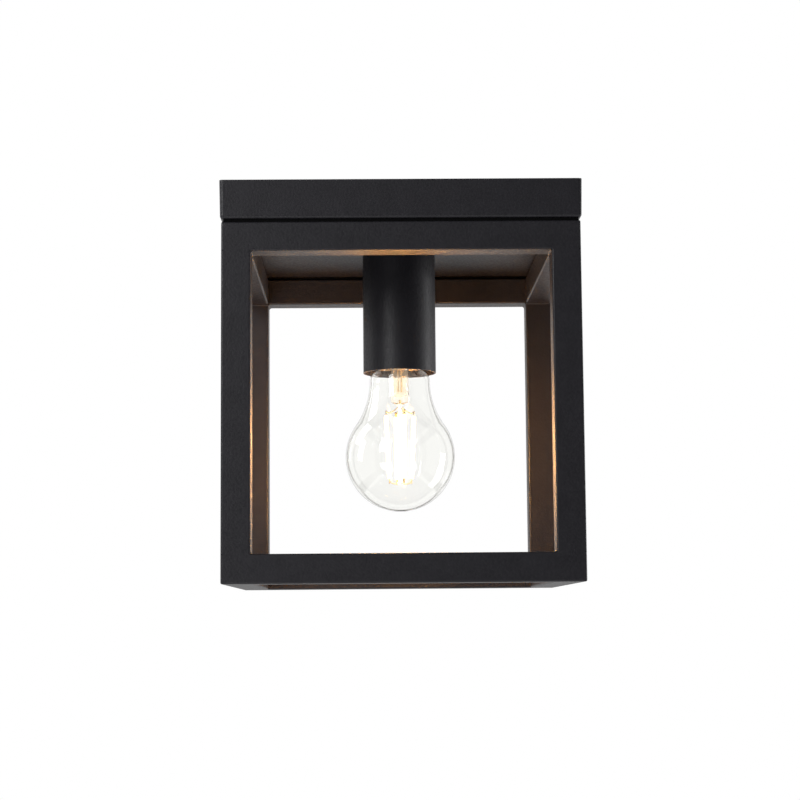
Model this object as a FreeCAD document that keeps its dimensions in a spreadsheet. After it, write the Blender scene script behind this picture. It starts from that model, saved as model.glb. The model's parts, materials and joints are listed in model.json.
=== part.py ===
import FreeCAD, Part
import math
import os
import Sketcher

# Porch ceiling lantern: a square canopy tray on a ceiling strap, a cube of square
# tube screwed up under it on a flat gasket, and a lampholder cup with a screw-in lamp.
# Millimetres. Origin at the centre of the ceiling face, +Z up, front towards -Y.

DOC = FreeCAD.newDocument("porch_ceiling_lantern")
SHEET = DOC.addObject("Spreadsheet::Sheet", "sizes")
PARTS = []

# --------------------------------------------------------------------------
# Driving dimensions
# --------------------------------------------------------------------------

SIZES = {
    # canopy tray
    "canopy_side": 185.0,        # outside, at the ceiling
    "canopy_height": 20.0,
    "canopy_wall": 1.2,
    "canopy_draft": 0.4,         # each side comes in by this over the height
    "canopy_corner": 2.0,        # upright corners
    "canopy_bend": 1.5,          # round the floor
    "gasket_width": 4.0,
    "gasket_height": 3.0,
    # cube frame
    "shadow_gap": 1.5,           # canopy floor to frame
    "frame_inset": 1.0,          # frame face behind canopy face
    "frame_height": 183.5,
    "tube_side": 15.0,
    "tube_wall": 1.2,
    "tube_corner": 1.0,
    # ceiling strap
    "strap_width": 25.0,
    "strap_sheet": 1.5,
    "strap_flange": 15.0,
    "strap_bend": 1.0,           # inside radius
    "strap_clearance": 1.0,      # strap end to gasket
    "slot_spacing": 80.0,
    "slot_length": 20.0,
    "slot_width": 5.0,
    "cable_hole": 12.0,
    "cable_bore": 8.0,
    "grommet_lip": 1.5,
    # threaded fasteners
    "m4_radius": 2.0,
    "m4_flats": 7.0,
    "m4_nut": 3.2,
    "m3_radius": 1.5,
    "m3_flats": 5.5,
    "m3_nut": 2.4,
    "hole_clearance": 0.3,       # radial, round a passing screw
    "fit_clearance": 0.05,       # radial, screw in its thread
    "side_screw_drop": 10.0,
    "side_screw_length": 10.0,
    "side_screw_recess": 0.3,
    "side_screw_socket": 2.0,
    "side_screw_chamfer": 0.4,
    "frame_screw_spacing": 110.0,
    "frame_screw_length": 10.0,
    "frame_screw_head": 4.0,
    "frame_screw_head_height": 2.6,
    "frame_screw_recess": 1.2,   # radius of the drive recess
    "frame_screw_recess_depth": 0.5,
    "frame_gasket_inset": 1.0,   # behind the tube's faces, inside and outside
    # terminal block and earth
    "block_pitch": 9.0,
    "block_width": 17.0,
    "block_height": 13.0,
    "block_gap": 18.0,           # lantern axis to block face
    "block_rim": 5.0,            # outer pole to block end
    "clamp_radius": 2.1,
    "clamp_bore": 1.5,
    "clamp_length": 13.0,
    "clamp_screw": 1.3,
    "clamp_screw_spacing": 8.0,
    "clamp_screw_sink": 0.8,
    "stud_height": 11.0,
    "block_stud_height": 16.0,
    "earth_stud_x": 44.0,
    "washer_radius": 4.5,
    "washer_height": 0.8,
    "tag_radius": 4.0,
    "tag_barrel": 1.9,
    "tag_barrel_length": 6.0,
    "tag_reach": 1.0,            # ring to barrel
    "tag_neck": 2.4,
    "tag_lap": 0.5,
    # wires
    "wire_radius": 1.1,
    "wire_end_depth": 5.0,       # inside the block
    "crimp_depth": 4.0,
    "earth_exit": 8.0,
    "earth_loop_back": 2.0,
    "earth_loop_near": 20.0,
    "earth_loop_near_drop": 11.5,
    "earth_loop_far": 34.0,
    "earth_loop_far_drop": 12.0,
    "earth_approach": 5.0,
    "core_exit": 12.5,
    "core_turn": 8.5,
    "core_headroom": 4.0,        # under the grommet
    "core_offset": 1.75,         # from the nipple's axis
    "core_below_boss": 1.0,
    "terminal_approach": 2.5,
    "terminal_entry": 4.0,
    # nipple and cup
    "nipple_radius": 5.0,
    "nipple_bore": 4.0,
    "nipple_above": 4.8,         # above the canopy floor
    "nipple_nut_flats": 14.0,
    "nipple_nut": 3.0,
    "lock_washer_radius": 8.5,
    "lock_washer": 1.0,
    "cup_radius": 20.0,
    "cup_wall": 1.0,
    "cup_length": 68.0,
    # lampholder
    "holder_radius": 18.0,
    "holder_wall": 1.8,
    "holder_cap_length": 21.0,
    "holder_cap_top": 3.0,
    "holder_boss": 7.0,
    "holder_boss_length": 4.0,
    "holder_shoulder": 4.0,
    "holder_shoulder_inside": 2.0,
    "core_height": 15.0,
    "sleeve_length": 37.0,
    "sleeve_chamfer": 1.0,
    "shell_thread_wall": 2.2,
    "shell_length": 21.0,
    "shell_floor": 0.8,
    "shell_floor_hole": 7.5,
    "contact_width": 4.6,
    "contact_strip": 0.4,
    "contact_recess": 2.0,       # core to contact face
    "contact_foot": 1.0,
    "contact_bend": 1.4,
    "contact_near": 2.2,
    "contact_far": 3.0,
    "contact_tip": 4.2,
    "contact_tip_rise": 0.8,
    "terminal_radius": 2.8,
    "terminal_height": 6.0,
    "terminal_pin": 1.2,
    "live_terminal_x": 6.0,
    "neutral_terminal_x": 9.6,
    "terminal_well": 4.5,
    "terminal_screw": 1.2,
    "terminal_screw_length": 2.6,
    "terminal_screw_drop": 2.5,
    "rivet_radius": 1.2,
    "rivet_head": 2.0,
    "rivet_head_height": 0.6,
    "rivet_y": 10.0,
    # lamp: E27 cap, A60 envelope
    "thread_pitch": 3.628,
    "thread_core": 12.1,
    "thread_round": 1.15,
    "thread_clearance": 0.3,
    "thread_sink": 0.4,          # knuckle in the cap's wall
    "thread_runout": 0.3,        # skirt to first thread
    "cap_wall": 0.6,
    "cap_thread_wall": 0.9,
    "cap_lap": 0.8,
    "cap_shoulder": 1.6,
    "cap_flare": 0.9,
    "cap_flare_inside": 1.1,
    "cap_length": 25.2,          # contact to skirt edge
    "cap_skirt": 13.4,
    "cap_skirt_height": 3.0,
    "contact_radius": 4.6,
    "contact_height": 1.2,
    "contact_edge": 0.5,
    "contact_slope": 1.2,
    "contact_gap": 0.3,          # lamp contact to holder contact
    "insulator_height": 4.0,
    "insulator_radius": 10.8,
    "insulator_lip": 0.6,
    "lamp_length": 105.0,
    "globe_radius": 30.0,
    "neck_radius": 16.6,
    "neck_drop": 7.5,            # cap edge to neck
    "glass": 0.8,
    "seal_radius": 11.0,
    "seal_depth": 8.0,           # glass inside the cap
    "stem_radius": 4.8,
    "stem_length": 29.0,
    "stem_bore": 1.8,
    "stem_tip": 6.0,             # solid glass under the bore
    "stem_flare_gap": 0.1,
    "stem_flare_drop": 0.5,
    "stem_flare_edge": 2.0,
    "stem_flare_length": 10.0,
    "cement_gap": 1.2,
    "cement_height": 1.6,
    "cement_rise": 0.2,
    "filament_radius": 0.9,
    "filament_length": 35.0,
    "filament_top_spread": 8.0,
    "filament_bottom_spread": 6.4,
    "filament_turn": 16.0,       # degrees, first strip from +X
    "filament_drop": 27.0,       # cap edge to filament tops
    "tab_radius": 0.35,
    "tab_length": 2.5,
    "glass_rod": 0.9,
    "glass_bead": 1.6,           # round end of the rod
    "support_start": 1.0,        # stem to upper arms
    "arm_radius": 0.32,
    "arm_hold": 1.75,            # arm along a tab
    "arm_gap": 0.1,
    "lead_radius": 0.4,
    "lead_spacing": 1.8,
    "lead_depth": 7.0,           # above the stem's foot
    "driver_radius": 9.5,
    "driver_board": 1.0,
    "driver_rise": 4.0,          # seal to board
    "bridge_length": 4.0,
    "bridge_width": 5.0,
    "bridge_height": 2.4,
    "bridge_x": 7.0,
    "capacitor_radius": 3.2,
    "capacitor_height": 4.5,
    "capacitor_x": 3.0,
    "coil_radius": 1.8,
    "coil_height": 3.0,
    "coil_x": 1.5,
    "coil_y": 5.5,
}

for row, (alias, number) in enumerate(SIZES.items(), start=1):
    SHEET.set(f"A{row}", alias)
    SHEET.set(f"B{row}", str(number))
    SHEET.setAlias(f"B{row}", alias)
DOC.recompute()


def size(text):
    """Value of an expression over the sheet."""
    return float(SHEET.evalExpression(text))


# --------------------------------------------------------------------------
# Places that several pieces share, as expressions over the sheet
# --------------------------------------------------------------------------

def total(*terms):
    return "(" + " + ".join(terms) + ")"


def less(first, *rest):
    return "(" + first + "".join(f" - {term}" for term in rest) + ")"


def negative(text):
    return f"(-1 * {text})"


CANOPY_FLOOR = less("sizes.canopy_wall", "sizes.canopy_height")          # inside
CANOPY_UNDER = negative("sizes.canopy_height")
FRAME_TOP = less(CANOPY_UNDER, "sizes.shadow_gap")
FRAME_BOTTOM = less(FRAME_TOP, "sizes.frame_height")
FRAME_HALF = less("sizes.canopy_side / 2", "sizes.frame_inset")
FRAME_INNER = less(FRAME_HALF, "sizes.tube_side")
TUBE_LINE = less(FRAME_HALF, "sizes.tube_side / 2")
STRAP_HALF = less("sizes.canopy_side / 2", "sizes.canopy_wall", "sizes.canopy_draft",
                  "sizes.gasket_width", "sizes.strap_clearance")
CUP_RIM = less(CANOPY_UNDER, "sizes.cup_length")
HOLDER_TOP = less(CANOPY_UNDER, "sizes.cup_wall")
CORE_TOP = less(HOLDER_TOP, "sizes.holder_cap_length")
CORE_BOTTOM = less(CORE_TOP, "sizes.core_height")
BOSS_FOOT = less(HOLDER_TOP, "sizes.holder_cap_top", "sizes.holder_boss_length")
TERMINAL_TOP = total(CORE_TOP, "sizes.terminal_height")
CONTACT_FACE = less(CORE_BOTTOM, "sizes.contact_recess")
LAMP_TOP = less(CONTACT_FACE, "sizes.contact_gap")
LAMP_BOTTOM = less(LAMP_TOP, "sizes.lamp_length")
CAP_EDGE = less(LAMP_TOP, "sizes.cap_length")
SKIRT_TOP = total(CAP_EDGE, "sizes.cap_skirt_height")
SEAL_TOP = total(CAP_EDGE, "sizes.seal_depth")
STEM_FOOT = less(SEAL_TOP, "sizes.stem_length")
BLOCK_Y = total("sizes.block_gap", "sizes.block_width / 2")
CLAMP_Z = total(CANOPY_FLOOR, "sizes.block_height / 2")
BLOCK_TOP = total(CANOPY_FLOOR, "sizes.block_height")


# --------------------------------------------------------------------------
# Modelling helpers
# --------------------------------------------------------------------------

def bind(thing, expressions):
    for path, text in expressions.items():
        thing.setExpression(path, text)
    return thing


def move(thing, x="0", y="0", z="0"):
    return bind(thing, {".Placement.Base.x": x, ".Placement.Base.y": y, ".Placement.Base.z": z})


def part(thing, label):
    """Keep a finished piece under its node name."""
    thing.Label = label
    PARTS.append(thing)
    return thing


def body(name):
    return DOC.addObject("PartDesign::Body", name)


def draw(owner, name, outlines, role="XZ_Plane", offset=None):
    """Sketch of closed outlines. An outline is a circle (x, y, radius), or a list of
    corners (x, y); a corner with (x, y, radius, turn) starts an arc to the next one,
    turn 1 bulging to the right of the way, -1 to the left."""
    if owner is None:
        flat = DOC.addObject("Sketcher::SketchObject", name)
        flat.Placement = {
            "XY_Plane": FreeCAD.Placement(),
            "YZ_Plane": FreeCAD.Placement(FreeCAD.Vector(), FreeCAD.Rotation(90, 0, 90)),
        }[role]
    else:
        flat = owner.newObject("Sketcher::SketchObject", name)
        plane = [face for face in owner.Origin.OriginFeatures if face.Role == role][0]
        flat.AttachmentSupport = [(plane, "")]
        flat.MapMode = "FlatFace"
        if offset:
            bind(flat, {".AttachmentOffset.Base.z": offset})

    def pin(kind, text, *where):
        index = flat.addConstraint(Sketcher.Constraint(kind, *where, size(text)))
        flat.setExpression(f"Constraints[{index}]", text)

    for outline in outlines:
        if isinstance(outline, tuple):
            x, y, radius = outline
            centre = FreeCAD.Vector(size(x), size(y), 0)
            index = flat.addGeometry(Part.Circle(centre, FreeCAD.Vector(0, 0, 1), size(radius)))
            pin("DistanceX", x, -1, 1, index, 3)
            pin("DistanceY", y, -1, 1, index, 3)
            pin("Radius", radius, index)
            continue
        ends = []
        for corner, following in zip(outline, outline[1:] + outline[:1]):
            start = FreeCAD.Vector(size(corner[0]), size(corner[1]), 0)
            stop = FreeCAD.Vector(size(following[0]), size(following[1]), 0)
            if len(corner) == 2:
                index = flat.addGeometry(Part.LineSegment(start, stop))
                ends.append((index, 1, 2, corner))
                continue
            radius, turn = size(corner[2]), corner[3]
            half = (stop - start) * 0.5
            aside = FreeCAD.Vector(-half.y, half.x, 0) * turn
            aside.Length = math.sqrt(max(radius ** 2 - half.Length ** 2, 0.0)) or 1e-9
            centre = start + half + aside
            first, last = (start, stop) if turn > 0 else (stop, start)
            angles = [math.atan2(end.y - centre.y, end.x - centre.x) for end in (first, last)]
            circle = Part.Circle(centre, FreeCAD.Vector(0, 0, 1), radius)
            index = flat.addGeometry(Part.ArcOfCircle(circle, *angles))
            ends.append((index, 1, 2, corner) if turn > 0 else (index, 2, 1, corner))
        for here, after in zip(ends, ends[1:] + ends[:1]):
            flat.addConstraint(Sketcher.Constraint("Coincident", here[0], here[2], after[0], after[1]))
        for index, begin, _, corner in ends:
            pin("DistanceX", corner[0], -1, 1, index, begin)
            pin("DistanceY", corner[1], -1, 1, index, begin)
            if len(corner) > 2:
                pin("Radius", corner[2], index)
    return flat


def rectangle(x0, y0, x1, y1):
    return [(x0, y0), (x1, y0), (x1, y1), (x0, y1)]


def rounded(x, y, half_x, half_y, radius):
    """Rectangle about (x, y) with round corners."""
    left, right = less(x, half_x), total(x, half_x)
    low, high = less(y, half_y), total(y, half_y)
    return [
        (total(left, radius), low), (less(right, radius), low, radius, 1),
        (right, total(low, radius)), (right, less(high, radius), radius, 1),
        (less(right, radius), high), (total(left, radius), high, radius, 1),
        (left, less(high, radius)), (left, total(low, radius), radius, 1),
    ]


def slotted(x, half_length, radius):
    """Slot along x with round ends, each drawn as two quarter circles."""
    left, right = less(x, half_length), total(x, half_length)
    return [
        (total(left, radius), negative(radius)), (less(right, radius), negative(radius), radius, 1),
        (right, "0", radius, 1), (less(right, radius), radius),
        (total(left, radius), radius, radius, 1), (left, "0", radius, 1),
    ]


def pad(owner, flat, length, name="pad", down=False, middle=False, taper=None):
    feature = owner.newObject("PartDesign::Pad", name)
    feature.Profile = flat
    feature.Reversed = down
    feature.SideType = "Symmetric" if middle else "One side"
    bind(feature, {"Length": length})
    if taper:
        bind(feature, {"TaperAngle": taper})
    return feature


def pocket(owner, flat, length=None, name="pocket", forward=False, middle=False, taper=None):
    """Cut against the sketch's normal, or along it, or both ways right through."""
    feature = owner.newObject("PartDesign::Pocket", name)
    feature.Profile = flat
    feature.Reversed = forward
    feature.SideType = "Symmetric" if middle else "One side"
    if length is None:
        feature.Type = "ThroughAll"
    else:
        bind(feature, {"Length": length})
    if taper:
        bind(feature, {"TaperAngle": taper})
    return feature


def spin(owner, flat, name="spin"):
    feature = owner.newObject("PartDesign::Revolution", name)
    feature.Profile = flat
    feature.ReferenceAxis = (flat, ["V_Axis"])
    return feature


def turned(name, outline, x="0", y="0", z="0"):
    """Body of revolution about its own upright axis, from (radius, height) corners."""
    owner = body(name)
    spin(owner, draw(owner, f"{name}_outline", [outline]))
    return move(owner, x, y, z)


def cylinder(name, radius, height, x="0", y="0", z="0"):
    solid = DOC.addObject("Part::Cylinder", name)
    bind(solid, {"Radius": radius, "Height": height})
    return move(solid, x, y, z)


def tube(name, outer, inner, height, x="0", y="0", z="0"):
    """Ring or washer standing on z."""
    return turned(name, rectangle(inner, "0", outer, height), x, y, z)


def facing(thing, axis, degrees):
    """Turn a piece about an axis before it is moved."""
    thing.Placement = FreeCAD.Placement(FreeCAD.Vector(), FreeCAD.Rotation(FreeCAD.Vector(*axis), degrees))
    return thing


def cut(name, base, *tools):
    if len(tools) > 1:
        gathered = DOC.addObject("Part::MultiFuse", f"{name}_tools")
        gathered.Shapes = list(tools)
    else:
        gathered = tools[0]
    result = DOC.addObject("Part::Cut", name)
    result.Base = base
    result.Tool = gathered
    return result


def nut(name, flats, bore, height, x="0", y="0", z="0"):
    blank = DOC.addObject("Part::Prism", f"{name}_blank")
    blank.Polygon = 6
    bind(blank, {"Circumradius": f"{flats} / sqrt(3)", "Height": height})
    hole = cylinder(f"{name}_bore", bore, height)
    return move(cut(name, blank, hole), x, y, z)


def group(name, pieces):
    gathered = DOC.addObject("Part::Compound", name)
    gathered.Links = pieces
    return part(gathered, name)


def edges_at(feature, level):
    """Names of a feature's edges that lie flat at one height."""
    DOC.recompute()
    names = []
    for number, edge in enumerate(feature.Shape.Edges, start=1):
        box = edge.BoundBox
        if abs(box.ZMin - level) < 1e-4 and abs(box.ZMax - level) < 1e-4:
            names.append(f"Edge{number}")
    return names


def shaped(name, shape):
    """Keep a shape made directly as a finished piece."""
    feature = DOC.addObject("Part::Feature", name)
    feature.Shape = shape
    feature.Placement = FreeCAD.Placement()
    return part(feature, name)


def fillet(owner, feature, names, radius, name="fillet"):
    rounding = owner.newObject("PartDesign::Fillet", name)
    rounding.Base = (feature, names)
    bind(rounding, {"Radius": radius})
    return rounding


def wire(name, points, radius, share=0.45):
    """Round wire along straight runs joined by tangent arcs. Each arc takes up a
    share of the shorter run beside its corner."""
    spots = [FreeCAD.Vector(*(size(text) for text in point)) for point in points]
    edges = []
    start = spots[0]
    for before, corner, after in zip(spots, spots[1:], spots[2:]):
        inward = (before - corner).normalize()
        outward = (after - corner).normalize()
        reach = share * min((before - corner).Length, (after - corner).Length)
        bend = math.pi - inward.getAngle(outward)
        arc_start = corner + inward * reach
        arc_stop = corner + outward * reach
        middle_way = (inward + outward).normalize()
        arc_radius = reach / math.tan(bend / 2)
        middle = corner + middle_way * (arc_radius / math.cos(bend / 2) - arc_radius)
        edges.append(Part.LineSegment(start, arc_start).toShape())
        edges.append(Part.Arc(arc_start, middle, arc_stop).toShape())
        start = arc_stop
    edges.append(Part.LineSegment(start, spots[-1]).toShape())
    path = Part.Wire(edges)
    section = Part.Circle(spots[0], spots[1] - spots[0], size(radius))
    sweep = path.makePipeShell([Part.Wire(section.toShape())], True, True)
    expected = math.pi * size(radius) ** 2 * path.Length
    print(f"{name}: length {path.Length:.1f}, volume over section {sweep.Volume / expected:.4f}")
    return shaped(name, sweep)


# --------------------------------------------------------------------------
# Canopy tray and its gasket
# --------------------------------------------------------------------------

SIDE_SCREW_Z = negative("sizes.side_screw_drop")
FRAME_SCREWS = [(f"({across} * {TUBE_LINE})", f"({along} * sizes.frame_screw_spacing / 2)")
                for across in (-1, 1) for along in (-1, 1)]
DRAFT_ANGLE = "atan(sizes.canopy_draft / sizes.canopy_height)"


def make_canopy():
    tray = body("canopy_tray")
    half = "sizes.canopy_side / 2"
    outside = draw(tray, "tray_outside", [rounded("0", "0", half, half, "sizes.canopy_corner")],
                   "XY_Plane")
    block = pad(tray, outside, "sizes.canopy_height", "tray_block", down=True,
                taper=negative(DRAFT_ANGLE))
    floor_edges = edges_at(block, size(CANOPY_UNDER))
    fillet(tray, block, floor_edges, "sizes.canopy_bend", "tray_bend")
    inner_half = less(half, "sizes.canopy_wall")
    inner_corner = less("sizes.canopy_corner", "sizes.canopy_wall")
    inside = draw(tray, "tray_inside", [rounded("0", "0", inner_half, inner_half, inner_corner)],
                  "XY_Plane")
    pocket(tray, inside, less("sizes.canopy_height", "sizes.canopy_wall"), "tray_hollow",
           taper=negative(DRAFT_ANGLE))
    screw_hole = total("sizes.m4_radius", "sizes.hole_clearance")
    holes = [("0", "0", total("sizes.nipple_radius", "sizes.hole_clearance"))]
    holes += [(x, y, screw_hole) for x, y in FRAME_SCREWS]
    pocket(tray, draw(tray, "tray_floor_holes", holes, "XY_Plane"), name="floor_holes")
    side = draw(tray, "tray_side_holes", [("0", SIDE_SCREW_Z, screw_hole)], "YZ_Plane")
    pocket(tray, side, "2 * sizes.canopy_side", "side_holes", middle=True)
    part(tray, "canopy_tray")

    gasket = body("canopy_gasket")
    outer = less(half, "sizes.canopy_wall", "sizes.canopy_draft")
    inner = less(outer, "sizes.gasket_width")
    ring = draw(gasket, "gasket_ring", [
        rounded("0", "0", outer, outer, "sizes.canopy_corner"),
        rounded("0", "0", inner, inner, "sizes.canopy_corner"),
    ], "XY_Plane")
    pad(gasket, ring, "sizes.gasket_height", "gasket_pad", down=True)
    part(gasket, "canopy_gasket")


# --------------------------------------------------------------------------
# Ceiling strap, its nuts and grommet, and the side screws
# --------------------------------------------------------------------------

def make_strap():
    strap = body("mounting_strap")
    outer = total("sizes.strap_bend", "sizes.strap_sheet")
    left, right = negative(STRAP_HALF), STRAP_HALF
    foot = negative("sizes.strap_flange")
    sheet = "sizes.strap_sheet"
    outline = [
        (total(left, outer), "0"), (less(right, outer), "0", outer, -1),
        (right, negative(outer)), (right, foot), (less(right, sheet), foot),
        (less(right, sheet), negative(outer), "sizes.strap_bend", 1),
        (less(right, outer), negative(sheet)),
        (total(left, outer), negative(sheet), "sizes.strap_bend", 1),
        (total(left, sheet), negative(outer)), (total(left, sheet), foot), (left, foot),
        (left, negative(outer), outer, -1),
    ]
    pad(strap, draw(strap, "strap_profile", [outline]), "sizes.strap_width", "strap_bar", middle=True)
    openings = [("0", "0", "sizes.cable_hole / 2")]
    for sign in (-1, 1):
        centre = f"({sign} * sizes.slot_spacing / 2)"
        openings.append(slotted(centre, "(sizes.slot_length / 2)", "(sizes.slot_width / 2)"))
    pocket(strap, draw(strap, "strap_openings", openings, "XY_Plane"), name="slots", middle=True)
    thread = total("sizes.m4_radius", "sizes.fit_clearance")
    holes = draw(strap, "strap_flange_holes", [("0", SIDE_SCREW_Z, thread)], "YZ_Plane")
    pocket(strap, holes, "2 * sizes.canopy_side", "flange_holes", middle=True)
    part(strap, "mounting_strap")

    nuts = []
    for name, sign in (("left", -1), ("right", 1)):
        weld_nut = nut(f"strap_nut_{name}", "sizes.m4_flats", thread, "sizes.m4_nut")
        face = less(STRAP_HALF, "sizes.strap_sheet", "sizes.m4_nut")
        nuts.append(move(facing(weld_nut, (0, 1, 0), 90 * sign), f"({sign} * {face})", "0", SIDE_SCREW_Z))
    group("strap_nuts", nuts)

    lip = total("sizes.cable_hole / 2", "sizes.grommet_lip")
    waist = "sizes.cable_hole / 2"
    below = negative("sizes.strap_sheet")
    part(turned("cable_grommet", [
        ("sizes.cable_bore / 2", "0"), (waist, "0"), (waist, below), (lip, below),
        (lip, less(below, "sizes.grommet_lip")),
        ("sizes.cable_bore / 2", less(below, "sizes.grommet_lip")),
    ]), "cable_grommet")


def make_side_screws():
    """M4 grub screws: threaded through strap and nut, their outer ends in the tray's holes."""
    wall_x = less("sizes.canopy_side / 2",
                  "sizes.canopy_draft * sizes.side_screw_drop / sizes.canopy_height")
    tip_x = less(wall_x, "sizes.side_screw_recess")
    chamfer = "sizes.side_screw_chamfer"
    radius, length = "sizes.m4_radius", "sizes.side_screw_length"
    for name, sign in (("left", -1), ("right", 1)):
        label = f"side_screw_{name}"
        screw = body(label)
        outline = [
            ("0", "0"), (less(radius, chamfer), "0"), (radius, chamfer),
            (radius, less(length, chamfer)), (less(radius, chamfer), length), ("0", length),
        ]
        spin(screw, draw(screw, f"{label}_outline", [outline]))
        corner = "sizes.side_screw_socket / sqrt(3)"
        corners = [(f"({corner} * cos({angle}))", f"({corner} * sin({angle}))")
                   for angle in range(0, 360, 60)]
        socket = draw(screw, f"{label}_socket", [corners], "XY_Plane", offset=length)
        pocket(screw, socket, "sizes.side_screw_socket", "socket")
        move(facing(screw, (0, 1, 0), 90 * sign), f"({sign} * {less(tip_x, length)})", "0", SIDE_SCREW_Z)
        part(screw, label)


# --------------------------------------------------------------------------
# Cube frame: mitred top and bottom rings, four posts, the gasket that makes the
# shadow gap, and the screws that hang it
# --------------------------------------------------------------------------

def section(owner, name, across, height, role, offset=None):
    """Square tube's section about a point."""
    half = "sizes.tube_side / 2"
    hollow = less(half, "sizes.tube_wall")
    return draw(owner, name, [
        rounded(across, height, half, half, "sizes.tube_corner"),
        rectangle(less(across, hollow), less(height, hollow), total(across, hollow), total(height, hollow)),
    ], role, offset)


def make_rail(label, top, turn, screw_holes):
    """One side of a ring: square tube with both ends mitred, drawn along the front."""
    centre_z = less(top, "sizes.tube_side / 2")
    line = DOC.addObject("Part::Extrusion", f"{label}_tube")
    line.Base = section(None, f"{label}_section", negative(TUBE_LINE), centre_z, "YZ_Plane")
    line.DirMode = "Normal"
    line.Symmetric = True
    line.Solid = True
    bind(line, {"LengthFwd": f"2 * {FRAME_HALF}"})
    half, inner, corner = FRAME_HALF, FRAME_INNER, "sizes.tube_corner"
    # the plan's outer corners stop on the mitre, halfway round
    cusp = less(half, f"{corner} * (1 - sqrt(0.5))")
    plan = [
        (negative(cusp), negative(cusp), corner, 1), (less(corner, half), negative(half)),
        (less(half, corner), negative(half), corner, 1), (cusp, negative(cusp)),
        (inner, negative(inner)), (negative(inner), negative(inner)),
    ]
    mitre = DOC.addObject("Part::Extrusion", f"{label}_mitre")
    mitre.Base = draw(None, f"{label}_plan", [plan], "XY_Plane")
    mitre.DirMode = "Normal"
    mitre.Solid = True
    bind(mitre, {"LengthFwd": "sizes.tube_side", ".Placement.Base.z": less(top, "sizes.tube_side")})
    rail = DOC.addObject("Part::Common", f"{label}_blank")
    rail.Base, rail.Tool = line, mitre
    if screw_holes:
        drills = [
            cylinder(f"{label}_drill_{number}", total("sizes.m4_radius", "sizes.hole_clearance"),
                     "2 * sizes.tube_wall", f"({sign} * sizes.frame_screw_spacing / 2)",
                     negative(TUBE_LINE), less(top, "1.5 * sizes.tube_wall"))
            for number, sign in enumerate((-1, 1))
        ]
        rail = cut(label, rail, *drills)
    part(facing(rail, (0, 0, 1), turn), label)


def make_frame():
    sides = {"front": 0, "right": 90, "back": 180, "left": 270}
    bottom_ring_top = total(FRAME_BOTTOM, "sizes.tube_side")
    for name, turn in sides.items():
        make_rail(f"top_rail_{name}", FRAME_TOP, turn, screw_holes=name in ("left", "right"))
        make_rail(f"bottom_rail_{name}", bottom_ring_top, turn, screw_holes=False)
    for depth, along in (("front", -1), ("back", 1)):
        for side, across in (("left", -1), ("right", 1)):
            label = f"post_{depth}_{side}"
            post = body(label)
            square = section(post, f"{label}_section", f"({across} * {TUBE_LINE})",
                             f"({along} * {TUBE_LINE})", "XY_Plane", offset=bottom_ring_top)
            pad(post, square, less("sizes.frame_height", "2 * sizes.tube_side"), f"{label}_bar")
            part(post, label)


def make_frame_gasket():
    """Flat ring of black foam rubber on the top rails, set back from both of their faces so that
    it reads as a shadow line, with the frame screws' holes."""
    ring = body("frame_gasket")
    outer = less(FRAME_HALF, "sizes.frame_gasket_inset")
    inner = total(FRAME_INNER, "sizes.frame_gasket_inset")
    flat = draw(ring, "gasket_strips", [
        rectangle(negative(outer), negative(outer), outer, outer),
        rectangle(negative(inner), negative(inner), inner, inner),
    ], "XY_Plane", offset=FRAME_TOP)
    pad(ring, flat, "sizes.shadow_gap", "gasket_ring")
    holes = [(x, y, total("sizes.m4_radius", "sizes.hole_clearance")) for x, y in FRAME_SCREWS]
    pocket(ring, draw(ring, "gasket_holes", holes, "XY_Plane", offset=CANOPY_UNDER), name="gasket_bores")
    part(ring, "frame_gasket")


def make_frame_fixings():
    """Pan-head screws from inside the canopy into nuts welded under the top rails' upper walls."""
    shank, head = "sizes.m4_radius", "sizes.frame_screw_head"
    head_top = "sizes.frame_screw_head_height"
    recess, recess_foot = "sizes.frame_screw_recess", less(head_top, "sizes.frame_screw_recess_depth")
    nut_z = less(FRAME_TOP, "sizes.tube_wall", "sizes.m4_nut")
    screws, nuts = [], []
    for number, (x, y) in enumerate(FRAME_SCREWS):
        screws.append(turned(f"frame_screw_{number}", [
            ("0", negative("sizes.frame_screw_length")), (shank, negative("sizes.frame_screw_length")),
            (shank, "0"), (head, "0"), (head, f"({head_top} * 0.6)"), (f"({head} * 0.7)", head_top),
            (recess, head_top), (recess, recess_foot), ("0", recess_foot),
        ], x, y, CANOPY_FLOOR))
        nuts.append(nut(f"frame_nut_{number}", "sizes.m4_flats", total(shank, "sizes.fit_clearance"),
                        "sizes.m4_nut", x, y, nut_z))
    group("frame_screws", screws)
    group("frame_nuts", nuts)


# --------------------------------------------------------------------------
# Terminal block, earth stud and wires
# --------------------------------------------------------------------------

POLES = {"earth": "(-1 * sizes.block_pitch)", "live": "0", "neutral": "sizes.block_pitch"}
BLOCK_STUD_X = "(sizes.block_pitch / 2)"
EARTH_X = negative("sizes.earth_stud_x")
TAG_Z = total(CANOPY_FLOOR, "sizes.washer_height")


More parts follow.
